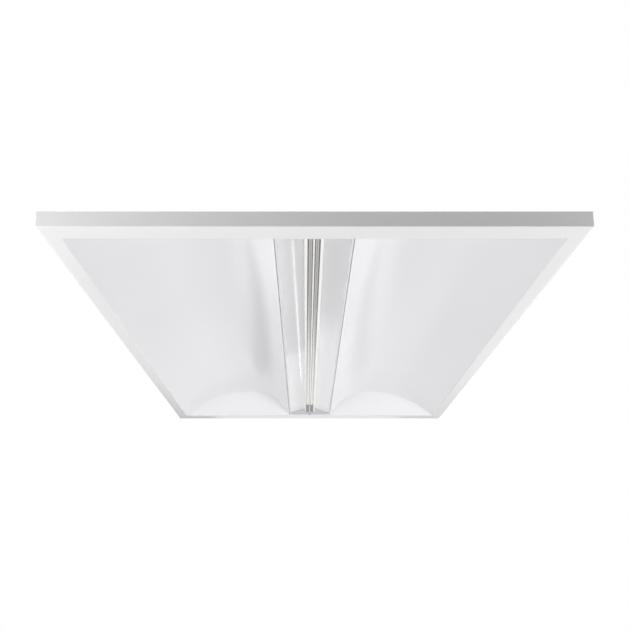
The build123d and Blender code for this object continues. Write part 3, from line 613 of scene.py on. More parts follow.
class Coats(Enum):
    """The finishes of the light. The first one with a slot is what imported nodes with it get."""

    # Gloss white baked enamel on folded steel: even, with soft highlights along its folds.
    FRAME = BakedEnamel("baked_gloss_enamel", "frame_enamel", "#f1f1f2", 0.34, grain=1.6)
    # Satin high-reflectance enamel: soft shade, and a faint mirror at glancing angles.
    REFLECTOR = PowderCoat(
        "satin_reflector_enamel", "reflector_enamel", "#f1f1f4", 0.2, grain=0.7, relief=0.003
    )
    # Satin powder coat outside the housing: a fine pebble that breaks up reflections.
    HOUSING = PowderCoat(
        "satin_powder_coat", "housing_paint", "#e7e7e6", 0.45, grain=1.1, relief=0.02, shift=0.02
    )
    # Satin powder coat on the walls beside the optic: paler and smoother than the housing's.
    TUNNEL = PowderCoat("tunnel_powder_coat", "tunnel_paint", "#f6f6f7", 0.48, grain=0.9, relief=0.01)
    # Matt powder coat inside the optic's tray: no mirror images, only soft shade.
    OPTIC = PowderCoat("matt_optic_powder_coat", "optic_paint", "#e6e6e8", 0.6, grain=0.8, relief=0.008)
    # White film whose colour pales towards the LEDs: painted light.
    FILM = FilmWithPaintedLight("reflector_film_painted_light", "optic_paint", "#e2e2e4", 0.5, grain=2.0, relief=0.003)
    # Extruded aluminium, satin anodised: pale warm grey with fine die lines along it.
    SPINE = DrawnMetal(
        "anodised_extruded_aluminium", "spine_aluminium", "#e6e4df", 0.13, 1.0, grain=0.5, relief=0.001
    )
    # Darker grey strips on the roofs of the extrusion's grooves and on its steps: painted shade.
    GROOVE = DrawnMetal(
        "painted_groove_shade", "spine_aluminium", "#a7a59e", 0.14, 1.0, grain=0.5, relief=0.001
    )
    # Cast acrylic light guides: clear, with sharp mirror images and a slight haze.
    GUIDE = ClearSheet(
        "cast_acrylic_light_guide", "clear_acrylic", "#fbfbfc", 0.05, grain=2.5, relief=0.0004
    )
    # White solder mask on an aluminium-core board: satin, with raised tracks.
    BOARD = SolderMask("white_solder_mask", "circuit_board", "#edede8", 0.4, relief=0.03)
    # Moulded package of a mid-power LED: warm white and even.
    PACKAGE = Moulded("led_package_resin", "led_package", "#f4f3ec", 0.3)
    # Phosphor gel that fills the package: yellow and glossy.
    PHOSPHOR = Moulded("led_phosphor_gel", "led_package", "#f2d978", 0.22, grain=0.15, relief=0.003)
    # Bright zinc plate on small steel parts: bluish, with short lines.
    ZINC = DrawnMetal(
        "bright_zinc_plate", "zinc_steel", "#bfc3c6", 0.24, 1.0, grain=0.3, relief=0.002, run=3.0
    )
    # Black oxide on the latch's steel stud: near black, with a dull metal shine.
    LATCH = DrawnMetal(
        "black_oxide_steel", "zinc_steel", "#3c3b3a", 0.35, 0.9, grain=0.3, relief=0.003, run=2.0
    )
    # Hot-dip galvanised sheet: a patchwork of grey crystals.
    GALVANISED = Galvanised("galvanised_spangle_sheet", "galvanised", "#adb1b3", 0.4, 1.0, relief=0.002)
    # Ground stainless steel spring parts: grey, with long lines.
    STAINLESS = DrawnMetal(
        "ground_stainless", "stainless", "#b4b2ae", 0.3, 1.0, grain=0.25, relief=0.002, run=30.0
    )
    # White moulded nylon contacts: slightly cream and satin.
    CONTACT = Moulded("white_moulded_nylon", "contact_plastic", "#eeeeea", 0.42, grain=0.4, relief=0.01)
    # White silicone: the beads that hold the light guides; and the strip over the middle rib, whose white
    # is a painted highlight along the rib.
    GASKET_AND_RIB_HIGHLIGHT = Moulded("white_silicone_and_painted_rib_highlight", "contact_plastic", "#ffffff", 0.35, grain=0.5, relief=0.003)
    # Black moulded nylon bushing: deep black with a satin skin.
    BLACK = Moulded("black_moulded_nylon", "black_nylon", "#1d1d1e", 0.4, grain=0.4, relief=0.012)
    # Moulded cap at the spine's rear end, even and satin: its dark grey is painted shade at the optic's far
    # end.
    SPINE_CAP_SHADE = Moulded("grey_painted_end_shade", "black_nylon", "#8a8986", 0.36, grain=0.4, relief=0.008)
    # White powder coat on the driver's aluminium case: cool and finely pebbled.
    DRIVER = PowderCoat("driver_powder_coat", "driver_case", "#e4e6e8", 0.36, grain=0.8, relief=0.012)
    # Grey moulded polycarbonate terminal block: even and satin.
    TERMINAL = Moulded(
        "grey_polycarbonate", "terminal_plastic", "#b9bbbd", 0.38, grain=0.35, relief=0.01
    )
    # Orange moulded nylon levers: bright, with a soft shine.
    LEVER = Moulded("orange_moulded_nylon", "lever_plastic", "#d9792a", 0.3, grain=0.35, relief=0.006)
    # Green passivated earth screw: tinted metal.
    EARTH = DrawnMetal(
        "green_passivated_steel", "earth_screw_finish", "#2f8f4a", 0.3, 0.8, grain=0.3, relief=0.003,
        run=3.0,
    )
    # PVC insulation of the leads: even colours with a soft shine.
    LEAD_NEUTRAL = Moulded(
        "pvc_insulation_white", "lead_insulation", "#e9e8e3", 0.42, grain=0.6, relief=0.006
    )
    LEAD_LIVE = Moulded(
        "pvc_insulation_black", "lead_insulation", "#232325", 0.42, grain=0.6, relief=0.006
    )
    LEAD_EARTH = Moulded(
        "pvc_insulation_green", "lead_insulation", "#2f8b46", 0.42, grain=0.6, relief=0.006
    )
    LEAD_PLUS = Moulded("pvc_insulation_red", "lead_insulation", "#b5302b", 0.42, grain=0.6, relief=0.006)
    LEAD_MINUS = Moulded(
        "pvc_insulation_grey", "lead_insulation", "#6b6d70", 0.42, grain=0.6, relief=0.006
    )


# Read backwards, so that the first finish with a slot is the one that stays.
SLOTS = {coat.value.slot: coat for coat in reversed(Coats)}


# ---- Pieces ------------------------------------------------------------------------------
def put(name: str, data: bpy.types.ID) -> bpy.types.Object:
    """Makes an object of a mesh, a curve, a light or a camera, and links it into the scene."""
    made = bpy.data.objects.new(name, data)
    bpy.context.scene.collection.objects.link(made)
    return made


@dataclass
class Assembly:
    """A named group of pieces that share ways of being placed.

    Attributes:
        made: Names of the pieces made so far.
        crease: Angle in degrees past which an edge stays sharp.
    """

    made: list[str] = field(default_factory=list, init=False)
    crease: float = field(default=32.0, init=False)

    def enter(self, name: str, data: bpy.types.ID, coat: Coats, body: str, node: str) -> bpy.types.Object:
        """Puts a mesh or a curve into the scene as a piece.

        Args:
            name: Name of the piece.
            data: The mesh or curve.
            coat: Its finish.
            body: The body that it moves with.
            node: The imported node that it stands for, or nothing.

        Returns:
            The piece.
        """
        data.materials.append(coat.value.material())
        piece = put(name, data)
        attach(piece, body)
        if node:
            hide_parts(node)
        self.made.append(name)
        return piece

    def place(
        self, name: str, shell: Shell, coat: Coats, body: str = "troffer", node: str = "",
        copies: Copies = ALONE,
    ) -> None:
        """Puts a surface into the scene as a piece, or as several that mirror each other.

        Args:
            name: Name of the piece, in which {} stands for the copy's name, as in body and node.
            shell: Its surface, in millimetres in the row frame.
            coat: Its finish.
            body: The body that it moves with.
            node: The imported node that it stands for, or nothing.
            copies: The copies, by name, with the axes that each is mirrored on.
        """
        for copy, axes in copies.items():
            surface = shell
            for axis in axes:
                surface = surface.mirrored(axis)
            mesh = bpy.data.meshes.new(name.format(copy))
            mesh.from_pydata((surface.points * MM).tolist(), [], surface.quads.tolist() + surface.caps)
            build = bmesh.new()
            build.from_mesh(mesh)
            bmesh.ops.remove_doubles(build, verts=build.verts, dist=WELD)
            bmesh.ops.recalc_face_normals(build, faces=build.faces)
            build.to_mesh(mesh)
            build.free()
            mesh.shade_smooth()
            mesh.set_sharp_from_angle(angle=np.radians(self.crease))
            self.enter(name.format(copy), mesh, coat, body.format(copy), node.format(copy))

    def report(self) -> None:
        """Logs the pieces made."""
        LOG.info("%s: %s", type(self).__name__, ", ".join(self.made))


@dataclass
class FoldedFrame(Assembly):
    """Four folded rails, mitred from their outer corners to the corners of the mouth.

    Attributes:
        sheet: Thickness of the steel.
        bend: Outside radius of the fold.
        ease: Rounding of the cut edges.
    """

    sheet: float = 0.8
    bend: float = 1.3
    ease: float = 0.15

    def section(self, face: float, height: float) -> np.ndarray:
        """The rail's outline: distance in from the outer face, and height.

        The outside is an upright of the full height, a quarter circle of the bend's radius and a
        flange as wide as the face; the inside is the same line drawn in by the sheet.
        """
        bend, sheet, ease = self.bend, self.sheet, self.ease
        outside = arc((bend, bend), bend, 180.0, 270.0, 9)
        inside = arc((bend, bend), bend - sheet, 270.0, 180.0, 7)
        tip = [(face - ease, 0.0), (face, ease), (face, sheet - ease), (face - ease, sheet)]
        top = [(sheet, height - ease), (sheet - ease, height), (ease, height), (0.0, height - ease)]
        return np.concatenate([outside, tip, inside, top])

    def build(self) -> None:
        """Makes the four rails, each as far inwards as its mitres leave. The gussets stay as packed."""
        low, high = span("frame_rail_right")
        half_w, half_l, height = high
        end_low, end_high = span("frame_end_rear")
        side_face, end_face = half_w - low[0], end_high[1] - end_low[1]
        rails = (
            (side_face, end_face, half_w, half_l, 1, "frame_rail_{}", SIDES),
            (end_face, side_face, half_l, half_w, 0, "frame_end_{}", ENDS),
        )
        for face, other_face, out, along, axis, node, copies in rails:
            section = self.section(face, height)
            reach = along - section[:, 0] * other_face / face
            outline = np.column_stack([out - section[:, 0], section[:, 1]])
            rail = prism(outline, -reach, reach, axis)
            self.place("rail_{}", rail, Coats.FRAME, node=node, copies=copies)


@dataclass
class VaultCurve:
    """The section of a vaulted reflector: a straight flank, then two arcs that meet at its top.

    Attributes:
        inner_x: Edge beside the optic, from the middle of the light.
        foot_x: Outer edge of the vault, where it meets the frame.
        inner_z: Height of the inner edge.
        slope: Slope of the flank beside the optic, in degrees.
        peak_x: Middle of the light to the top of the vault.
        peak_z: Height of the top.
        foot_z: Height of the frame's upper face at the foot.
    """

    inner_x: float
    foot_x: float
    inner_z: float = 3.8
    slope: float = 46.4
    peak_x: float = 129.0
    peak_z: float = 46.5
    foot_z: float = 0.8

    def points(self, lift: float, steps: int = 64) -> np.ndarray:
        """Points of the curve, lifted square to the sheet, from the inner edge to the foot.

        The inner arc's radius comes from a flank of the given slope that touches it, and the outer
        arc's from its span and drop: R = (span squared + drop squared) / (2 drop).
        """
        slope = np.radians(self.slope)
        run = self.peak_x - self.inner_x
        rise = self.peak_z - self.inner_z
        inner = (np.tan(slope) * run - rise) / (np.tan(slope) * np.sin(slope) + np.cos(slope) - 1)
        width = self.foot_x - self.peak_x
        drop = self.peak_z - self.foot_z
        outer = (width**2 + drop**2) / (2 * drop)
        start = np.array([[self.inner_x, self.inner_z + lift / np.cos(slope)]])
        middle = (self.peak_x, self.peak_z - inner)
        near = arc(middle, inner + lift, 90.0 + self.slope, 90.0, steps // 2)
        middle = (self.peak_x, self.peak_z - outer)
        last = np.degrees(np.arcsin((self.foot_z + lift - middle[1]) / (outer + lift)))
        far = arc(middle, outer + lift, 90.0, last, steps)[1:]
        share = np.linspace(0.0, 1.0, steps // 6)[:, None]
        flank = (start + share * (near[0] - start))[:-1]
        return np.concatenate([flank, near, far])


@dataclass
class Reflectors(Assembly):
    """Two vaulted wings between leaning end reflectors, in satin white.

    Attributes:
        sheet: Thickness of the steel.
        lean: End reflector from the vertical, in degrees.
        foot: Flat edge of a wing on the frame.
        end_foot: Flat edge of an end reflector on the frame.
        strip: Height of an end reflector where the optic passes over it.
        rows: Points along a wing.
    """

    sheet: float = 0.8
    lean: float = 50.0
    foot: float = 4.5
    end_foot: float = 5.5
    strip: float = 3.1
    rows: int = 24

    def build(self) -> None:
        """Makes both wings and both ends."""
        low, high = span("reflector_wing_right")
        curve = VaultCurve(low[0], high[0] - self.foot)
        mouth_y = span("end_reflector_rear")[1][1] - self.end_foot
        shapes = (
            (self.wing(curve, mouth_y), "reflector_wing_{}_surface", "reflector_wing_{}", SIDES),
            (self.end(curve, mouth_y), "reflector_end_{}_surface", "end_reflector_{}", ENDS),
        )
        for shell, name, node, copies in shapes:
            self.place(name, shell, Coats.REFLECTOR, node=node, copies=copies)

    def wing(self, curve: VaultCurve, mouth_y: float) -> Shell:
        """A wing: the vault's curve and its copy lifted by the sheet, carried along Y.

        S(u, v) = (x(u), v L(z(u)), z(u)), where L(z) = mouth_y - (z - sheet) tan(lean) is how far
        the leaning ends leave room at each height, and v runs from -1 to 1.
        """
        tip = curve.foot_x + self.foot
        edge = [(tip, self.sheet), (tip, 2 * self.sheet)]
        ring = np.concatenate([curve.points(0.0), edge, curve.points(self.sheet)[::-1]])
        reach = mouth_y - (ring[:, 1] - self.sheet) * np.tan(np.radians(self.lean))
        rings = np.zeros((self.rows, len(ring), 3))
        rings[:, :, 0] = ring[:, 0]
        rings[:, :, 1] = np.outer(np.linspace(-1.0, 1.0, self.rows), reach)
        rings[:, :, 2] = ring[:, 1]
        return ringed(rings)

    def end(self, curve: VaultCurve, mouth_y: float) -> Shell:
        """The rear end: a leaning sheet under both vaults and a flat foot on the frame.

        At each x the ring goes up the visible face to the vault's height h(x), over the edge, down
        the back and round the foot. The face leans: y = mouth_y - (z - sheet) tan(lean).
        """
        tan = np.tan(np.radians(self.lean))
        through = self.sheet / np.cos(np.radians(self.lean))
        upper = curve.points(self.sheet)
        right = upper[np.argsort(upper[:, 0], kind="stable")]
        middle = [(-curve.inner_x, self.strip), (curve.inner_x, self.strip)]
        top = np.concatenate([right[::-1] * (-1.0, 1.0), middle, right])
        x, height = top[:, 0], np.maximum(top[:, 1], 2 * self.sheet)
        face = mouth_y - (height - self.sheet) * tan
        tip = mouth_y + self.end_foot
        ring = [
            (mouth_y, self.sheet),
            (face, height),
            (face + through, height),
            (mouth_y - self.sheet * tan + through, 2 * self.sheet),
            (tip, 2 * self.sheet),
            (tip, self.sheet),
        ]
        points = [np.stack(np.broadcast_arrays(x, y, z), axis=-1) for y, z in ring]
        return ringed(np.stack(points, axis=1))


@dataclass
class CentreOptic(Assembly):
    """The drop-down optic: spine, light guides, reflector film, LED windows and latch.

    Attributes:
        half: Half the width of the spine's lower flange.
        flange: Thickness of that flange.
        web: Half the thickness of the spine's web.
        cap: Thickness and half the width of its upper flange.
        middle_rib: Half the width of the spine's middle rib.
        side_ribs: Where each side rib starts and ends, from the middle.
        groove_depth: Depth of the grooves.
        shoulder: Height of the step outside the side ribs.
        round_over: Rounding of a rib's edges.
        floor: Half the thickness of the dark strips that paint shade on a groove's roof, and their gap at
            the spine's ends.
        strip_skin: Thickness of the strip pressed over the middle rib.
        end_cap: Length, thickness below, thickness beside and height of the cap at the rear end.
        end_cap_edges: Rounding of its upright corners and of its other edges.
        guide: Thickness of a light guide.
        guide_ease: Its polished edges' chamfer.
        bead: Width of the silicone bead beside the spine.
        bead_gap: Gap between a bead and what it touches.
        bead_start: Its face's height above the spine's underside, beside the spine.
        bead_sag: How far that face bulges.
        film: Thickness of the reflector film.
        film_gap: Its gap at the spine.
        film_edge: Its edge to the tray's outside.
        film_drop: How far it comes down at the tray's sides.
        windows: LEDs on each side.
        window: How far an LED's gel stands out, its length and its height.
        window_sink: How far it is set into the LED.
        led: Length of an LED.
        latch_head: Radius and height of the latch's head.
        latch_slot: Width and depth of its slot.
        latch_stem: Radius of its stem.
        latch_bar: Half the width and the thickness of its bar.
        latch_edges: Rounding of the bar's ends and of its other edges.
        overlap: How far the stem runs into the head and the bar.
    """

    half: float = 7.75
    flange: float = 1.6
    web: float = 3.0
    cap: Pair = (1.2, 10.0)
    middle_rib: float = 0.85
    side_ribs: Pair = (2.3, 5.9)
    groove_depth: float = 0.9
    shoulder: float = 0.7
    round_over: float = 0.25
    floor: Pair = (0.05, 0.1)
    strip_skin: float = 0.12
    end_cap: tuple[float, float, float, float] = (78.0, 0.35, 0.2, 1.5)
    end_cap_edges: Pair = (0.9, 0.3)
    guide: float = 3.0
    guide_ease: float = 0.25
    bead: float = 3.5
    bead_gap: float = 0.02
    bead_start: float = 0.25
    bead_sag: float = 0.2
    film: float = 0.4
    film_gap: float = 0.1
    film_edge: float = 0.95
    film_drop: float = 4.0
    windows: int = 27
    window: Triple = (0.04, 2.1, 1.3)
    window_sink: float = 0.02
    led: float = 2.8
    latch_head: Pair = (2.2, 1.0)
    latch_slot: Pair = (0.7, 0.5)
    latch_stem: float = 1.2
    latch_bar: Pair = (1.1, 1.2)
    latch_edges: Pair = (1.05, 0.2)
    overlap: float = 0.2

    def build(self) -> None:
        """Makes every piece of the optic that isn't kept as packed."""
        self.spine()
        self.grooves()
        self.filler()
        self.cover_end()
        self.guides()
        self.beads()
        self.reflector_film()
        self.led_windows()
        self.latch()

    def under_ribs(self, low: float) -> np.ndarray:
        """The spine's underside: a flat rib, a groove, a half-round rib, a groove, a flat rib."""
        r, roof = self.round_over, low + self.groove_depth
        start, stop = self.side_ribs
        corner = arc((r, low + r), r, 180.0, 270.0, 5)
        groove = [(self.middle_rib, roof), (start, roof)]
        rib = corner + (start, 0.0), corner[::-1] * (-1.0, 1.0) + (stop, 0.0)
        right = np.concatenate([groove, *rib])
        middle = arc((0.0, low + self.middle_rib), self.middle_rib, 180.0, 360.0, 13)
        return np.concatenate([right[::-1] * (-1.0, 1.0), middle, right])

    def spine(self) -> None:
        """The extrusion: ribs with rounded edges below, a web, and a cap under the tray."""
        low, high = span("spine")
        step, flange_top = low[2] + self.shoulder, low[2] + self.flange
        cap_low, cap_half = high[2] - self.cap[0], self.cap[1]
        right = np.array([
            (self.side_ribs[1], step), (self.half, step), (self.half, flange_top),
            (self.web, flange_top), (self.web, cap_low), (cap_half, cap_low), (cap_half, high[2]),
        ])
        outline = np.concatenate([self.under_ribs(low[2]), right, right[::-1] * (-1.0, 1.0)])
        shell = prism(outline, -high[1], high[1])
        self.place("ribbed_spine", shell, Coats.SPINE, "optic", "spine")

    def grooves(self) -> None:
        """Thin dark strips on the roofs of the grooves and on the steps beside the ribs: painted shade."""
        low, high = span("spine")
        (start, stop), (half, gap) = self.side_ribs, self.floor
        reach = high[1] - gap
        strips = [
            block((x0, -reach, low[2] + depth - half), (x1, reach, low[2] + depth + half))
            for x0, x1, depth in (
                (self.middle_rib, start, self.groove_depth), (stop, self.half, self.shoulder)
            )
        ]
        # Painted shade: these darker strips stand where shade falls in the grooves.
        self.place("spine_painted_groove_shade", joined(strips).doubled(), Coats.GROOVE, "optic")

    def filler(self) -> None:
        """A white half-round strip over the middle rib, stepping down over the end cap: a painted highlight
        along the rib.
        """
        low, high = span("spine")
        long, thick = self.end_cap[:2]
        r = self.middle_rib + self.strip_skin
        step = high[1] - long
        runs = (-high[1], step, self.strip_skin), (step, high[1], 2 * thick)
        shells = [
            prism(arc((0.0, low[2] + r - drop), r, 180.0, 360.0, 13), start, end)
            for start, end, drop in runs
        ]
        # Painted highlight: the white strip stands in for the bright line along the rib.
        self.place("spine_painted_highlight_strip", joined(shells), Coats.GASKET_AND_RIB_HIGHLIGHT, "optic")

    def cover_end(self) -> None:
        """A moulded cap that wraps the underside of the spine at the latch's end, dark grey as painted
        shade there.
        """
        low, high = span("spine")
        long, thick, side, tall = self.end_cap
        half = self.half + side
        start, end = (-half, high[1] - long, low[2] - thick), (half, high[1], low[2] + tall)
        # The cap's dark grey is painted shade at the far end of the spine.
        self.place("spine_end_cap_painted_shade", eased_block(start, end, *self.end_cap_edges), Coats.SPINE_CAP_SHADE, "optic")

    def guides(self) -> None:
        """Flat sheets that fall from the spine to the tray's lips, with eased edges."""
        low, high = span("light_guide_right")
        fall = high[2] - self.guide - low[2]
        run, ease, thick = high[0] - low[0], self.guide_ease, self.guide
        along = np.array([0.0, ease, run - ease, run, run, run - ease, ease, 0.0])
        lift = np.array([ease, 0.0, 0.0, ease, thick - ease, thick, thick, thick - ease])
        outline = np.column_stack([low[0] + along, low[2] + fall * (1 - along / run) + lift])
        sheet = prism(outline, -high[1], high[1])
        self.place("acrylic_guide_{}", sheet, Coats.GUIDE, "optic", "light_guide_{}", SIDES)

    def beads(self) -> None:
        """A wedge-shaped bead between the spine's edge and each light guide.

        Its face is a shallow arc from the spine's lower corner out to the guide's underside.
        """
        low, high = span("light_guide_right")
        fall = (high[2] - self.guide - low[2]) / (high[0] - low[0])
        start = self.half + self.bead_gap
        share = np.linspace(0.0, 1.0, 7)
        x = start + self.bead * share
        roof = low[2] + fall * (high[0] - x) - self.bead_gap
        near = span("spine")[0][2] + self.bead_start
        face = near + (roof[-1] - near) * share - self.bead_sag * np.sin(np.pi * share)
        outline = np.concatenate([np.column_stack([x, face]), [(start, roof[0])]])
        beads = prism(outline, -high[1], high[1]).doubled()
        self.place("silicone_beads", beads, Coats.GASKET_AND_RIB_HIGHLIGHT, "optic")

    def reflector_film(self) -> None:
        """White film under the tray's back, curving down to its sides.

        From the spine's cap out, its height falls as top - drop s^5, where s is the share of the
        way to the side.
        """
        side = span("optic_tray")[1][0] - self.film_edge
        reach, top = span("spine")[1][1:] - (0.0, self.cap[0] + self.film_gap)
        share = np.linspace(0.0, 1.0, 18)
        start = self.web + self.film_gap
        lower = np.column_stack([start + (side - start) * share, top - self.film_drop * share**5])
        outline = np.concatenate([lower, lower[::-1] + (0.0, self.film)])
        self.place("reflector_film", prism(outline, -reach, reach).doubled(), Coats.FILM, "optic")

    def led_windows(self) -> None:
        """The phosphor gel in each LED's face."""
        low, high = span("leds_right")
        out, long, tall = self.window
        x, z = high[0], (low[2] + high[2]) / 2
        windows = [
            block((x - self.window_sink, y - long / 2, z - tall / 2), (x + out, y + long / 2, z + tall / 2))
            for y in np.linspace(low[1] + self.led / 2, high[1] - self.led / 2, self.windows)
        ]
        self.place("led_windows_{}", joined(windows), Coats.PHOSPHOR, "optic", copies=SIDES)

    def latch(self) -> None:
        """The quarter-turn stud: a slotted head below, a stem, and a bar with rounded ends."""
        low, high = span("optic_latch")
        y, bottom, top = (low[1] + high[1]) / 2, low[2], high[2]
        radius, height = self.latch_head
        half, thick = self.latch_bar
        head = slotted_head(radius, height, self.latch_slot).mirrored(2)
        ends = bottom + height - self.overlap, top - thick + self.overlap
        stem = turned_part([(self.latch_stem, z) for z in ends], 20)
        bar = eased_block((low[0], y - half, top - thick), (high[0], y + half, top), *self.latch_edges)
        shell = joined([head.moved((0.0, y, bottom + height)), stem.moved((0.0, y, 0.0)), bar])
        self.place("quarter_turn_stud", shell, Coats.LATCH, "latch", "optic_latch")


@dataclass
class Screws(Assembly):
    """Slotted pan-head screws, in the rows that hold the sheets together.

    Attributes:
        head: Radius and height of a head.
        slot: Width and depth of its slot.
        shank: Radius and length of a shank.
        point: Length of a shank's tip, and its end's radius as a share of the shank's.
        sunk: How far a shank runs into its head.
        stops: Angle from one screw's slot to the next one's, in degrees.
        earth_stop: The earth screw's, in degrees.
        roof: Height of the roof's upper face.
        box_floor: Height of the gear box's floor.
        driver_seat: Height of the driver's ears.
        tray_top: Height of the optic's back.
        row: Middle of the light to the last screw of a row along the roof.
        end_x: Middle of the light to a screw at the roof's ends.
        lap: A wing's inner edge to the screws over it.
    """

    head: Pair = (3.6, 2.0)
    slot: Pair = (1.0, 1.2)
    shank: Pair = (1.7, 5.0)
    point: Pair = (0.8, 0.6)
    sunk: float = 0.1
    stops: float = 67.0
    earth_stop: float = 20.0
    roof: float = 56.8
    box_floor: float = 57.6
    driver_seat: float = 58.8
    tray_top: float = 24.0
    row: float = 448.5
    end_x: float = 144.0
    lap: float = 6.0

    def one(self, x: float, y: float, seat: float, turn: float) -> Shell:
        """One screw, its slot turned by some degrees."""
        wide, long = self.shank
        tip, share = self.point
        body = turned_part([(wide * share, -long), (wide, -long + tip), (wide, self.sunk)], 16)
        whole = joined([slotted_head(*self.head, self.slot), body])
        c, s = np.cos(np.radians(turn)), np.sin(np.radians(turn))
        points = whole.points @ np.array([[c, s, 0.0], [-s, c, 0.0], [0.0, 0.0, 1.0]])
        return Shell(points, whole.quads, whole.caps).moved((x, y, seat))

    def group(self, name: str, places: Sequence[Pair], seat: float, body: str) -> None:
        """Screws at several places as one piece, each stopped at its own angle."""
        screws = joined(self.one(x, y, seat, self.stops * i) for i, (x, y) in enumerate(places))
        self.place(name + "_screw_heads", screws, Coats.ZINC, body, name + "_screws")

    def build(self) -> None:
        """Makes every screw, reading the rows from the parts that they hold."""
        inset, both = self.head[0], (-1, 1)
        side, last = span("roof_screws")[1][:2] - inset
        lap = span("reflector_wing_right")[0][0] + self.lap
        places = [(s * side, y) for s in both for y in np.linspace(-self.row, self.row, 5)]
        places += [(s * self.end_x, e * last) for s in both for e in both]
        places += [(s * lap, y) for s in both for y in (-self.row, -self.row / 2, self.row)]
        self.group("roof", places, self.roof, "troffer")
        rows = (
            ("gear_box", 2, 2, self.box_floor, "troffer"),
            ("driver", 1, 2, self.driver_seat, "troffer"),
            ("spine", 1, 5, self.tray_top, "optic"),
        )
        for name, across, along, seat, body in rows:
            low, high = span(name + "_screws")
            low, high = low + inset, high - inset
            xs = np.linspace(low[0], high[0], across)
            places = [(x, y) for x in xs for y in np.linspace(low[1], high[1], along)]
            self.group(name, places, seat, body)
        x, y, _ = np.mean(span("earth_screw"), axis=0)
        screw = self.one(x, y, self.box_floor, self.earth_stop)
        self.place("earth_screw_head", screw, Coats.EARTH, node="earth_screw")


@dataclass
class Housing(Assembly):
    """Pressed stiffening beads on the roof, and the rivets and grid clips on its sides.

    Attributes:
        bead: Width and height of a bead.
        bead_reach: Where a bead starts and ends, from the middle of the light.
        beads: Beads along each side.
        bead_pitch: Distance between them.
        sink: How far a bead is set into the roof.
        clip: Thickness of a clip.
        clip_bend: Radius of a clip's bend, at the middle of its sheet.
        clip_nose: Angle from a clip's middle line to where its round end is cut, in degrees.
        rivet: Radius and height of a rivet's head, and the radius of its stem.
    """

    bead: Pair = (13.0, 2.0)
    bead_reach: Pair = (76.0, 258.0)
    beads: int = 8
    bead_pitch: float = 112.0
    sink: float = 0.15
    clip: float = 1.2
    clip_bend: float = 1.5
    clip_nose: float = 88.0
    rivet: Triple = (3.5, 1.2, 2.0)

    def build(self) -> None:
        """Makes the beads, the clips and their rivets."""
        self.roof_beads()
        self.clips()
        self.rivets()

    def roof_beads(self) -> None:
        """Long low swellings across the roof, each a block with rounded ends and edges."""
        roof, (wide, tall), (start, end) = Screws.roof, self.bead, self.bead_reach
        corner, edge = wide / 2 - 0.05, tall * 0.95
        rows = self.bead_pitch * (np.arange(self.beads) - (self.beads - 1) / 2)
        beads = [
            eased_block(
                (start, y - wide / 2, roof - self.sink), (end, y + wide / 2, roof + tall),
                corner, edge, 7,
            )
            for y in rows
        ]
        self.place("roof_stiffening_beads", joined(beads).doubled(), Coats.HOUSING)

    def clips(self) -> None:
        """Spring strips with a round end at the rivet and a hook bent down at the tip."""
        low, high = span("grid_clip_rear_right")
        half, r, inset = (high[0] - low[0]) / 2, self.clip_bend, self.clip / 2
        level = high[2] - inset
        turn = np.radians(np.linspace(self.clip_nose, 0.0, 9))
        nose = np.column_stack([high[1] - half + half * np.sin(turn), np.full(len(turn), level)])
        bend = arc((low[1] + r + inset, level - r), r, 90.0, 180.0, 7)
        path = np.concatenate([nose, bend, [(low[1] + inset, low[2])]])
        widths = np.full(len(path), half)
        widths[:len(turn)] = half * np.cos(turn)
        clip = ribbon(path, self.clip, widths).moved(((low[0] + high[0]) / 2, 0.0, 0.0))
        self.place("spring_clip_{}", clip, Coats.STAINLESS, "clip_{}", "grid_clip_{}", CORNERS)

    def rivets(self) -> None:
        """Tubular rivets with a domed head above the clip and below its shelf."""
        low, high = span("clip_rivets")
        head, rise, stem = self.rivet
        dome = [(0.55 * head, 0.0), (0.85 * head, 0.3), (head, 0.85), (head, rise), (stem, rise)]
        rivet = two_headed(dome, low[2], high[2], 24).moved((high[0] - head, high[1] - head, 0.0))
        self.place("domed_rivets", rivet.doubled().doubled(1), Coats.ZINC, node="clip_rivets")


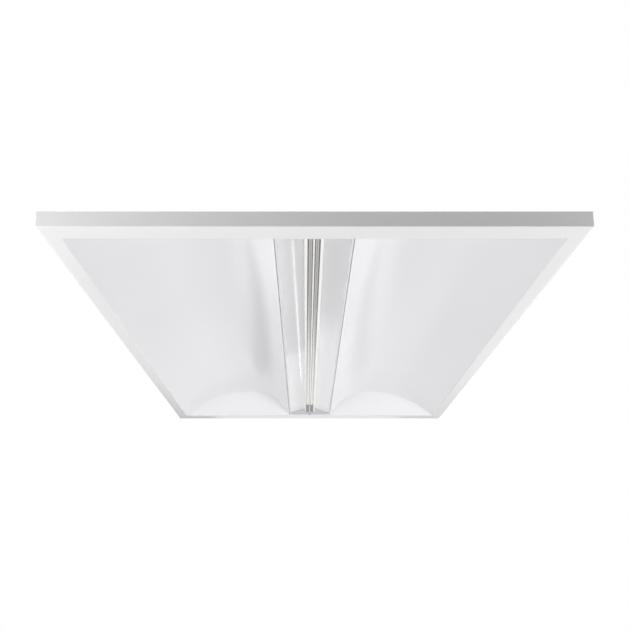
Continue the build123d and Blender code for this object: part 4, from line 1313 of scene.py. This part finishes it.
@dataclass
class GearBox(Assembly):
    """What the gear box carries: louvres, hinge pin, knockout blank, turn button, bushing.

    Attributes:
        louvre: Length, width and height of a louvre on the cover.
        louvre_edges: Rounding of its ends, and of its top as a share of its height.
        louvres: Louvres in a column.
        louvre_pitch: Distance between them.
        louvre_x: Where each column starts.
        louvre_y: The first louvre's middle, from the middle of the light.
        sink: How far one piece is set into the next.
        pin: Radius of the hinge pin, and the length of its upset ends.
        blank_wall: The blank's rim to the hole that it grips.
        button: Radius and height of the turn button.
        grip: Length, width and height of the finger grip on it.
        grip_edges: Rounding of the grip's ends and of its other edges.
        stud: Radius of the stud below it.
        tongue: Half the width and the thickness of the tongue that catches.
        tongue_edges: Rounding of the tongue's corners and of its other edges.
        bushing: Width of the bushing's rim, radius of its bore, and height of the rim.
    """

    louvre: Triple = (30.0, 5.0, 1.6)
    louvre_edges: Pair = (2.4, 0.9)
    louvres: int = 7
    louvre_pitch: float = 11.0
    louvre_x: Pair = (-40.0, 2.0)
    louvre_y: float = 262.0
    sink: float = 0.2
    pin: Pair = (1.0, 1.2)
    blank_wall: float = 1.7
    button: Pair = (7.0, 3.0)
    grip: Triple = (11.0, 2.4, 2.6)
    grip_edges: Pair = (1.18, 0.6)
    stud: float = 2.0
    tongue: Pair = (3.0, 1.2)
    tongue_edges: Pair = (1.6, 0.25)
    bushing: Triple = (2.0, 5.0, 1.4)

    def build(self) -> None:
        """Makes the pieces in turn."""
        self.cover_louvres()
        self.hinge_pin()
        self.blank()
        self.turn_button()
        self.fit_bushing()

    def cover_louvres(self) -> None:
        """Two columns of low pressed louvres over the driver."""
        top = span("gear_cover")[1][2]
        long, wide, tall = self.louvre
        corner, share = self.louvre_edges
        louvres = [
            eased_block(
                (x, y - wide / 2, top - self.sink), (x + long, y + wide / 2, top + tall),
                corner, tall * share,
            )
            for x in self.louvre_x
            for y in self.louvre_y + self.louvre_pitch * np.arange(self.louvres)
        ]
        self.place("cover_louvres", joined(louvres), Coats.HOUSING, "cover")

    def hinge_pin(self) -> None:
        """A steel pin with an upset end past the last knuckle at each side."""
        low, high = span("cover_hinge_pin")
        end, (radius, head) = (high[2] - low[2]) / 2, self.pin
        upset = ((0.5, 0.0), (0.9, 0.3), (1.0, 0.7), (0.9, 1.0))
        ends = [(end * wide, head * deep) for wide, deep in upset] + [(radius, head)]
        middle = (low + high) / 2 * (1.0, 0.0, 1.0)
        pin = two_headed(ends, low[1], high[1], 20).turned(2, 1).moved(middle)
        self.place("upset_hinge_pin", pin, Coats.ZINC, node="cover_hinge_pin")

    def blank(self) -> None:
        """A pressed blank: a dished face with a rolled rim, and a cup that grips the hole."""
        low, high = span("knockout_blank")
        rim = (high[0] - low[0]) / 2
        grip, back, face = rim - self.blank_wall, low[1], high[1]
        profile = [
            (grip - 2.0, face - 1.6), (grip - 0.9, face - 1.6), (grip - 0.8, back), (grip, back),
            (grip, face - 0.8), (rim - 0.2, face - 0.8), (rim, face - 0.6), (rim, face - 0.25),
            (rim - 0.3, face), (grip - 0.6, face), (grip - 1.6, face - 0.7), (2.0, face - 0.7),
        ]
        middle = (low + high) / 2 * (1.0, 0.0, 1.0)
        disc = turned_part(profile, 40).turned(2, 1).moved(middle)
        self.place("pressed_blank", disc, Coats.ZINC, node="knockout_blank")

    def turn_button(self) -> None:
        """A round button with a finger grip on top and a tongue below, released."""
        low, high = span("cover_turn_button")
        (radius, height), (long, wide, tall), (half, thick) = self.button, self.grip, self.tongue
        x, y = (low[0] + high[0]) / 2, np.mean(span("gear_box"), axis=0)[1]
        top = high[2] - tall
        base = top - height
        profile = [
            (radius - 0.3, base), (radius, base + 0.3), (radius, top - 1.0),
            (radius - 0.3, top - 0.4), (radius - 1.0, top), (radius - 2.4, top),
        ]
        start, end = (x - wide / 2, y - long / 2, top - 0.3), (x + wide / 2, y + long / 2, high[2])
        tongue = (x - half, y - half, low[2]), (x + half, high[1], low[2] + thick)
        stud = [(self.stud, low[2] + 0.1), (self.stud, base + self.sink)]
        pieces = [
            turned_part(profile, 36).moved((x, y, 0.0)),
            eased_block(start, end, *self.grip_edges),
            turned_part(stud, 20).moved((x, y, 0.0)),
            eased_block(*tongue, *self.tongue_edges),
        ]
        button = joined(pieces)
        self.place("quarter_turn_button", button, Coats.CONTACT, "turn_button", "cover_turn_button")

    def fit_bushing(self) -> None:
        """A snap bushing: a thin sleeve through the floor with a rounded rim above it."""
        low, high = span("lead_bushing")
        rim, bottom, top = (high[0] - low[0]) / 2, low[2], high[2]
        wide, bore, tall = self.bushing
        sleeve, seat = rim - wide, top - tall
        profile = [
            (bore, bottom + 0.3), (bore + 0.3, bottom), (sleeve, bottom), (sleeve, seat),
            (rim - 0.3, seat), (rim, seat + 0.3), (rim, top - 0.6), (rim - 0.5, top),
            (bore + 0.8, top), (bore, top - 0.8),
        ]
        ring = turned_part(profile, 36, hollow=True).moved((low + high) / 2 * (1.0, 1.0, 0.0))
        self.place("snap_bushing", ring, Coats.BLACK, node="lead_bushing")


@dataclass
class DriverAndTerminals(Assembly):
    """The LED driver in its extruded case, its sockets, and the terminal levers.

    Attributes:
        corner: Rounding of the case's long edges.
        fins: Low ribs along the top of the case.
        fin: Height of a rib.
        fin_margin: The outermost ribs to the case's rounding.
        cap: Length of the moulded cap at each end.
        inset: How far the case stands inside its caps.
        sink: How far one piece is set into the next.
        ear: Length, half the width and the thickness of an ear.
        ear_edges: Rounding of an ear's corners and of its other edges.
        socket: Depth of a socket.
        socket_edges: Rounding of a socket's corners and of its other edges.
        axle: Radius of a lever's axle, its reach past the lever, and its middle to the lever's end.
        lever_ends: Rounding of a lever's ends as a share of half its thickness, and what that is
            less by.
        ridges: Grip ridges on a lever.
        ridge: Half the width, the height and the pitch of a ridge.
        ridge_start: The first ridge to the lever's free end.
    """

    corner: float = 2.0
    fins: int = 9
    fin: float = 0.9
    fin_margin: float = 1.0
    cap: float = 3.0
    inset: float = 0.4
    sink: float = 0.2
    ear: Triple = (9.0, 9.0, 1.2)
    ear_edges: Pair = (1.5, 0.2)
    socket: float = 1.5
    socket_edges: Pair = (0.7, 0.5)
    axle: Triple = (0.9, 1.1, 1.2)
    lever_ends: Pair = (0.85, 0.05)
    ridges: int = 3
    ridge: Triple = (0.4, 0.25, 1.3)
    ridge_start: float = 1.6

    def build(self) -> None:
        """Makes the driver, its sockets and the levers."""
        self.driver()
        self.sockets()
        for pole in ("live", "neutral", "earth"):
            self.lever(pole)

    def driver(self) -> None:
        """A ribbed case between two caps, on two ears.

        The case's outline is a rounded rectangle whose top runs up and down by a rib's height.
        """
        low, high = span("led_driver")
        long, half, thick = self.ear
        start, stop = low[1] + long, high[1] - long
        x0, x1 = low[0] + self.inset, high[0] - self.inset
        top = high[2] - self.inset
        corners = rounded_outline((x0, low[2]), (x1, top), self.corner, 5)
        margin = self.corner + self.fin_margin
        edges = np.linspace(x1 - margin, x0 + margin, 4 * self.fins)
        ribs = np.column_stack([edges, top - np.tile([0.0, self.fin, self.fin, 0.0], self.fins)])
        outline = np.concatenate([corners[:5], ribs, corners[5:]])
        hidden = self.cap - self.sink
        shells = [prism(outline, start + hidden, stop - hidden)]
        plan = rounded_outline(low[::2], high[::2], self.corner, 6)
        shells += [prism(plan, y, y + self.cap) for y in (start, stop - self.cap)]
        middle = (low[0] + high[0]) / 2
        for y0, y1 in ((low[1], start + self.sink), (stop - self.sink, high[1])):
            ear = (middle - half, y0, low[2]), (middle + half, y1, low[2] + thick)
            shells.append(eased_block(*ear, *self.ear_edges))
        self.place("finned_driver", joined(shells), Coats.DRIVER, node="led_driver")

    def sockets(self) -> None:
        """A push-in connector at each end of the driver."""
        low, high = span("driver_sockets")
        shells = [
            eased_block((low[0], y, low[2]), (high[0], y + self.socket, high[2]), *self.socket_edges)
            for y in (low[1], high[1] - self.socket)
        ]
        self.place("push_in_sockets", joined(shells), Coats.CONTACT, node="driver_sockets")

    def lever(self, pole: str) -> None:
        """A pole's rocking lever, with rounded ends and grip ridges near the free end."""
        node = "terminal_lever_" + pole
        low, high = span(node)
        radius, reach, inset = self.axle
        half, tall, pitch = self.ridge
        middle, top = (low[2] + high[2]) / 2, high[2] - tall
        share, less = self.lever_ends
        bar = rounded_outline(low[1:], (high[1], top), share * (middle - low[2] - less), 6)
        rows = high[1] - self.ridge_start - pitch * np.arange(self.ridges)
        shape = np.array([(half, 0.0), (half / 2, tall), (-half / 2, tall), (-half, 0.0)])
        ridges = [shape + (y, top) for y in rows]
        outline = np.concatenate([bar[:6], *ridges, bar[6:]])
        axle = arc((low[1] + inset, middle), radius, 0.0, 360.0, 17)[:-1]
        lever = prism(outline, low[0] + reach, high[0] - reach, axis=0)
        shell = joined([lever, prism(axle, low[0], high[0], axis=0)])
        self.place("rocking_lever_" + pole, shell, Coats.LEVER, "lever_" + pole, node)


@dataclass
class Leads(Assembly):
    """Insulated leads: three from the terminals to the driver, two on to the contacts.

    Attributes:
        radius: Radius of a lead.
        inputs: For each lead from the terminals to the driver, its insulation and its length in
            metres.
        outputs: The same for each lead from the driver to the contacts.
        pole_pitch: Distance between terminal poles.
        pitch: Distance between leads side by side at the driver.
        driver_x: Middle of the driver.
        terminal: Where a lead leaves its pole and ends its straight start (y), and its height.
        socket: Where it ends its bend and enters the driver (y), and its height.
        output: Where a lead leaves the driver and turns down (y), its height and its lower end's.
    """

    radius: float = 1.3
    inputs: tuple[tuple[Coats, float], ...] = (
        (Coats.LEAD_LIVE, 0.072), (Coats.LEAD_NEUTRAL, 0.075), (Coats.LEAD_EARTH, 0.079)
    )
    outputs: tuple[tuple[Coats, float], ...] = ((Coats.LEAD_MINUS, 0.035), (Coats.LEAD_PLUS, 0.035))
    pole_pitch: float = 12.0
    pitch: float = 3.9
    driver_x: float = -25.2
    terminal: Triple = (28.0, 42.0, 63.6)
    socket: Triple = (83.7, 97.7, 68.2)
    output: tuple[float, float, float, float] = (360.7, 378.0, 68.2, 43.3)

    def build(self) -> None:
        """Makes the five leads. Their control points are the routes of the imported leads."""
        start, straight, low = self.terminal
        bend, end, high = self.socket
        for i, (coat, length) in zip((-1, 0, 1), self.inputs):
            x, to_x = i * self.pole_pitch, self.driver_x + i * self.pitch
            route = [(x, start, low), (x, straight, low), (to_x, bend, high), (to_x, end, high)]
            self.lead(route, coat, length, "input_leads")
        start, down, high, low = self.output
        for side, (coat, length) in zip((-1, 1), self.outputs):
            x = self.driver_x + side * self.pitch / 2
            self.lead([(x, start, high), (x, down, high), (x, down, low)], coat, length, "output_leads")

    def lead(self, route: Sequence[Sequence[float]], coat: Coats, length: float, node: str) -> None:
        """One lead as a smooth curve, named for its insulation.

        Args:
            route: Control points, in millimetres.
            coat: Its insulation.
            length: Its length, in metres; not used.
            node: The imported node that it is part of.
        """
        name = coat.name.lower()
        data = bpy.data.curves.new(name, "CURVE")
        data.dimensions = "3D"
        data.bevel_depth = self.radius * MM
        data.bevel_resolution = 5
        data.resolution_u = 16
        data.use_fill_caps = True
        line = data.splines.new("NURBS")
        line.points.add(len(route) - 1)
        for point, place in zip(line.points, route):
            point.co = (*(MM * value for value in place), 1.0)
        line.order_u = 3
        line.use_endpoint_u = True
        piece = self.enter(name, data, coat, "troffer", node)
        [MM * value for value in route[0]]


# ---- Studio ------------------------------------------------------------------------------
@dataclass(frozen=True)
class Lamp:
    """A soft square lamp.

    Attributes:
        name: Its name.
        place: Where it stands, in metres.
        aim: What it faces, in metres.
        size: Its side, in metres.
        power: Its power, in watts.
        mirrored: Whether gloss shows the lamp itself.
    """

    name: str
    place: Triple
    aim: Triple
    size: float
    power: float
    mirrored: bool = True

    def build(self) -> None:
        """Puts the lamp into the scene."""
        data = bpy.data.lights.new(self.name, "AREA")
        data.shape = "SQUARE"
        data.size = self.size
        data.energy = self.power
        lamp = put(self.name, data)
        lamp.location = self.place
        away = Vector(self.aim) - Vector(self.place)
        lamp.rotation_euler = away.to_track_quat("-Z", "Y").to_euler()
        lamp.visible_camera = False
        lamp.visible_glossy = self.mirrored


@dataclass(frozen=True)
class Card:
    """A strip of grey card or of light, far behind the object, that only polished pieces mirror.

    Attributes:
        name: Its name.
        start: The middle of its lower end, in metres.
        end: The middle of its upper end, in metres.
        widths: Its width across X at each end, in metres.
        tone: How bright it is, where 1 is white.
    """

    name: str
    start: Triple
    end: Triple
    widths: Pair
    tone: float

    def build(self) -> None:
        """Puts the card into the scene, hidden from the camera and from plain light."""
        low, high = (np.array([width / 2, 0.0, 0.0]) for width in self.widths)
        corners = np.array([self.start - low, self.start + low, self.end + high, self.end - high])
        mesh = bpy.data.meshes.new(self.name)
        mesh.from_pydata(corners.tolist(), [], [(0, 1, 2, 3)])
        material = bpy.data.materials.new(self.name)
        tree = cleared(material)
        glow = add_node(tree, "Emission", inputs={"Color": WHITE, "Strength": self.tone})
        add_node(tree, "OutputMaterial", inputs={"Surface": glow.outputs[0]})
        mesh.materials.append(material)
        card = put(self.name, mesh)
        card.visible_camera = False
        card.visible_diffuse = False
        card.visible_shadow = False


@dataclass
class Studio:
    """Plain white surroundings, a pale floor far below, soft lamps and the camera.

    Attributes:
        ambient: Light that comes from all round, as a grey from 0 to 1.
        daylight: Strength of the soft light from overhead, in watts per square metre.
        daylight_spread: How wide that light is, in degrees.
        daylight_tilt: How far it leans about X and about Y, in degrees.
        floor_z: Height of the floor, in metres.
        floor_reach: Radius of the floor, in metres.
        floor_fade: Width of its rim, which fades into the white behind, in metres.
        floor_seen: Its sRGB hex colour where the camera, gloss or glass sees it.
        floor_bounce: Its sRGB hex colour for the light that it throws back.
        lamps: The lamps.
        cards: The cards that polished pieces mirror.
        eye: The camera's place, in metres.
        pitch: How far it looks up, in degrees.
        lens: Focal length in millimetres on a 36 mm sensor.
        shift: The frame's sideways shift, as a share of its width.
    """

    ambient: float = 0.12
    daylight: float = 1.5
    daylight_spread: float = 40.0
    daylight_tilt: Pair = (11.0, -9.0)
    floor_z: float = -2.5
    floor_reach: float = 9.6
    floor_fade: float = 1.4
    floor_seen: str = "#f9f9f9"
    floor_bounce: str = "#b8b8b8"
    lamps: tuple[Lamp, ...] = (
        Lamp("left", (-2.2, 0.0, -1.2), (0.0, 0.0, 0.0), 1.2, 19.5),
        Lamp("right", (2.2, 0.0, -1.2), (0.0, 0.0, 0.0), 1.2, 36.0),
        Lamp("below", (0.0, 0.0, -2.2), (0.0, 0.0, 0.0), 1.6, 7.0),
        Lamp("below_right", (0.8, -0.3, -1.1), (0.0, 0.3, 0.0), 0.8, 1.2),
        Lamp("near_corner", (-0.6, -1.0, -0.05), (-0.3, -0.6, 0.0), 0.15, 1.1, False),
        Lamp("near_corner_right", (0.5, -0.75, -0.05), (0.3, -0.6, 0.0), 0.15, 0.18, False),
        Lamp("near_corner_low", (-0.85, -0.95, -0.3), (-0.25, -0.6, 0.0), 0.4, 3.0, False),
        Lamp("overhead", (0.2, 0.3, 2.0), (0.0, 0.1, 0.0), 1.2, 12.0),
    )
    cards: tuple[Card, ...] = (
        Card("grey_card", (0.035, 3.0, -1.75), (0.035, 3.0, -0.832), (0.13, 0.13), 0.42),
        Card("grey_card_left", (-0.9, 3.0, -0.5), (-0.9, 3.0, -0.03), (0.9, 0.9), 0.05),
        Card("grey_card_right", (0.9, 3.0, -0.5), (0.9, 3.0, -0.03), (0.9, 0.9), 0.35),
        Card("grey_card_guide", (0.21, 3.05, -1.4), (0.185, 3.05, -0.72), (0.26, 0.24), 0.54),
        Card("pale_card_guide", (0.185, 3.05, -0.72), (0.16, 3.05, -0.4), (0.24, 0.22), 0.92),
        Card("light_strip", (0.309, 3.0, -1.292), (0.142, 3.0, -0.57), (0.010, 0.003), 2.8),
    )
    eye: Triple = (-0.0106, -1.545, -0.370)
    pitch: float = 16.1
    lens: float = 53.2
    shift: float = 0.0159

    def build(self) -> None:
        """Sets up the world, the floor, the lamps and the camera."""
        self.world()
        self.floor()
        self.overhead()
        for light in (*self.lamps, *self.cards):
            light.build()
        self.camera()
        bpy.context.scene.view_settings.view_transform = "Standard"

    def seen(self, tree: Tree) -> Socket:
        """1 for rays of the camera, of gloss and of glass, and 0 for rays that carry light."""
        path = add_node(tree, "LightPath").outputs
        rays = path["Is Camera Ray"]
        for name in ("Is Glossy Ray", "Is Transmission Ray"):
            rays = add_node(tree, "Math", {"operation": "MAXIMUM"}, {0: rays, 1: path[name]}).outputs[0]
        return rays

    def world(self) -> None:
        """White where the camera, gloss and glass see it, and a plain grey light elsewhere."""
        world = bpy.data.worlds.new("plain_studio")
        tree = cleared(world)
        grey, white = (
            add_node(tree, "Background", inputs={"Color": WHITE, "Strength": strength}).outputs[0]
            for strength in (self.ambient, 1.0)
        )
        mixed = add_node(tree, "MixShader", inputs={0: self.seen(tree), 1: grey, 2: white})
        add_node(tree, "OutputWorld", inputs={"Surface": mixed.outputs[0]})
        bpy.context.scene.world = world

    def floor(self) -> None:
        """A round pale floor far below, whose rim fades into the white behind it.

        Its rings are circles of growing radius on one level, round a tiny middle face.
        """
        radii = np.linspace(0.001, self.floor_reach, 24)
        disc = turned_part([(radius, self.floor_z) for radius in radii], 96)
        mesh = bpy.data.meshes.new("studio_floor")
        mesh.from_pydata(disc.points.tolist(), [], disc.quads.tolist() + [disc.caps[0][::-1]])
        mesh.materials.append(self.floor_paint())
        put("studio_floor", mesh)

    def floor_paint(self) -> bpy.types.Material:
        """Matt floor paint, paler where it is seen than in the light that it throws back.

        Its white share at a distance r from the middle rises from 0 at reach - fade to 1 at reach.
        """
        made = bpy.data.materials.new("matt_floor_paint")
        tree = cleared(made)
        colours = {0: self.seen(tree), 6: linear(self.floor_bounce), 7: linear(self.floor_seen)}
        colour = add_node(tree, "Mix", {"data_type": "RGBA"}, colours).outputs[2]
        paint = add_node(tree, "BsdfDiffuse", inputs={"Color": colour}).outputs[0]
        place = add_node(tree, "NewGeometry").outputs["Position"]
        inputs = {0: place, 1: (1.0, 1.0, 0.0)}
        level = add_node(tree, "VectorMath", {"operation": "MULTIPLY"}, inputs).outputs["Vector"]
        reach = add_node(tree, "VectorMath", {"operation": "LENGTH"}, {0: level}).outputs["Value"]
        start, end = self.floor_reach - self.floor_fade, self.floor_reach
        limits = {"Value": reach, "From Min": start, "From Max": end}
        rim = add_node(tree, "MapRange", {"interpolation_type": "SMOOTHSTEP"}, limits).outputs["Result"]
        share = add_node(tree, "Math", {"operation": "MULTIPLY"}, {0: rim, 1: self.seen(tree)})
        white = add_node(tree, "Emission", inputs={"Color": WHITE, "Strength": 1.0}).outputs[0]
        mixed = add_node(tree, "MixShader", inputs={0: share.outputs[0], 1: paint, 2: white})
        add_node(tree, "OutputMaterial", inputs={"Surface": mixed.outputs[0]})
        return made

    def overhead(self) -> None:
        """Wide soft light from above, which lights the floor and the housing."""
        data = bpy.data.lights.new("daylight", "SUN")
        data.energy = self.daylight
        data.angle = np.radians(self.daylight_spread)
        put("daylight", data).rotation_euler = (*np.radians(self.daylight_tilt), 0.0)

    def camera(self) -> None:
        """The camera, below the light's front end and looking up along it."""
        data = bpy.data.cameras.new("camera")
        data.lens = self.lens
        data.sensor_width = 36.0
        data.shift_x = self.shift
        data.clip_end = 100.0
        camera = put("camera", data)
        camera.location = self.eye
        camera.rotation_euler = (np.radians(90.0 + self.pitch), 0.0, 0.0)
        bpy.context.scene.camera = camera


# ---- The whole light ---------------------------------------------------------------------
def dress_packed_nodes() -> None:
    """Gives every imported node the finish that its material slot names."""
    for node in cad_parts.values():
        for place in node.material_slots:
            name = place.material.name.split(".")[0] if place.material else ""
            if name in SLOTS:
                place.material = SLOTS[name].value.material()
            else:
                LOG.warning("%s has an unknown slot %s", node.name, name)


def main() -> None:
    """Builds every assembly in order."""
    logging.basicConfig(level=logging.INFO, format="%(name)s: %(message)s")
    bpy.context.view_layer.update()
    Studio().build()
    dress_packed_nodes()
    for assembly in (
        Leads(), FoldedFrame(), Reflectors(), CentreOptic(), Screws(), Housing(), GearBox(),
        DriverAndTerminals(),
    ):
        assembly.build()
        assembly.report()


if __name__ == "__main__":
    main()
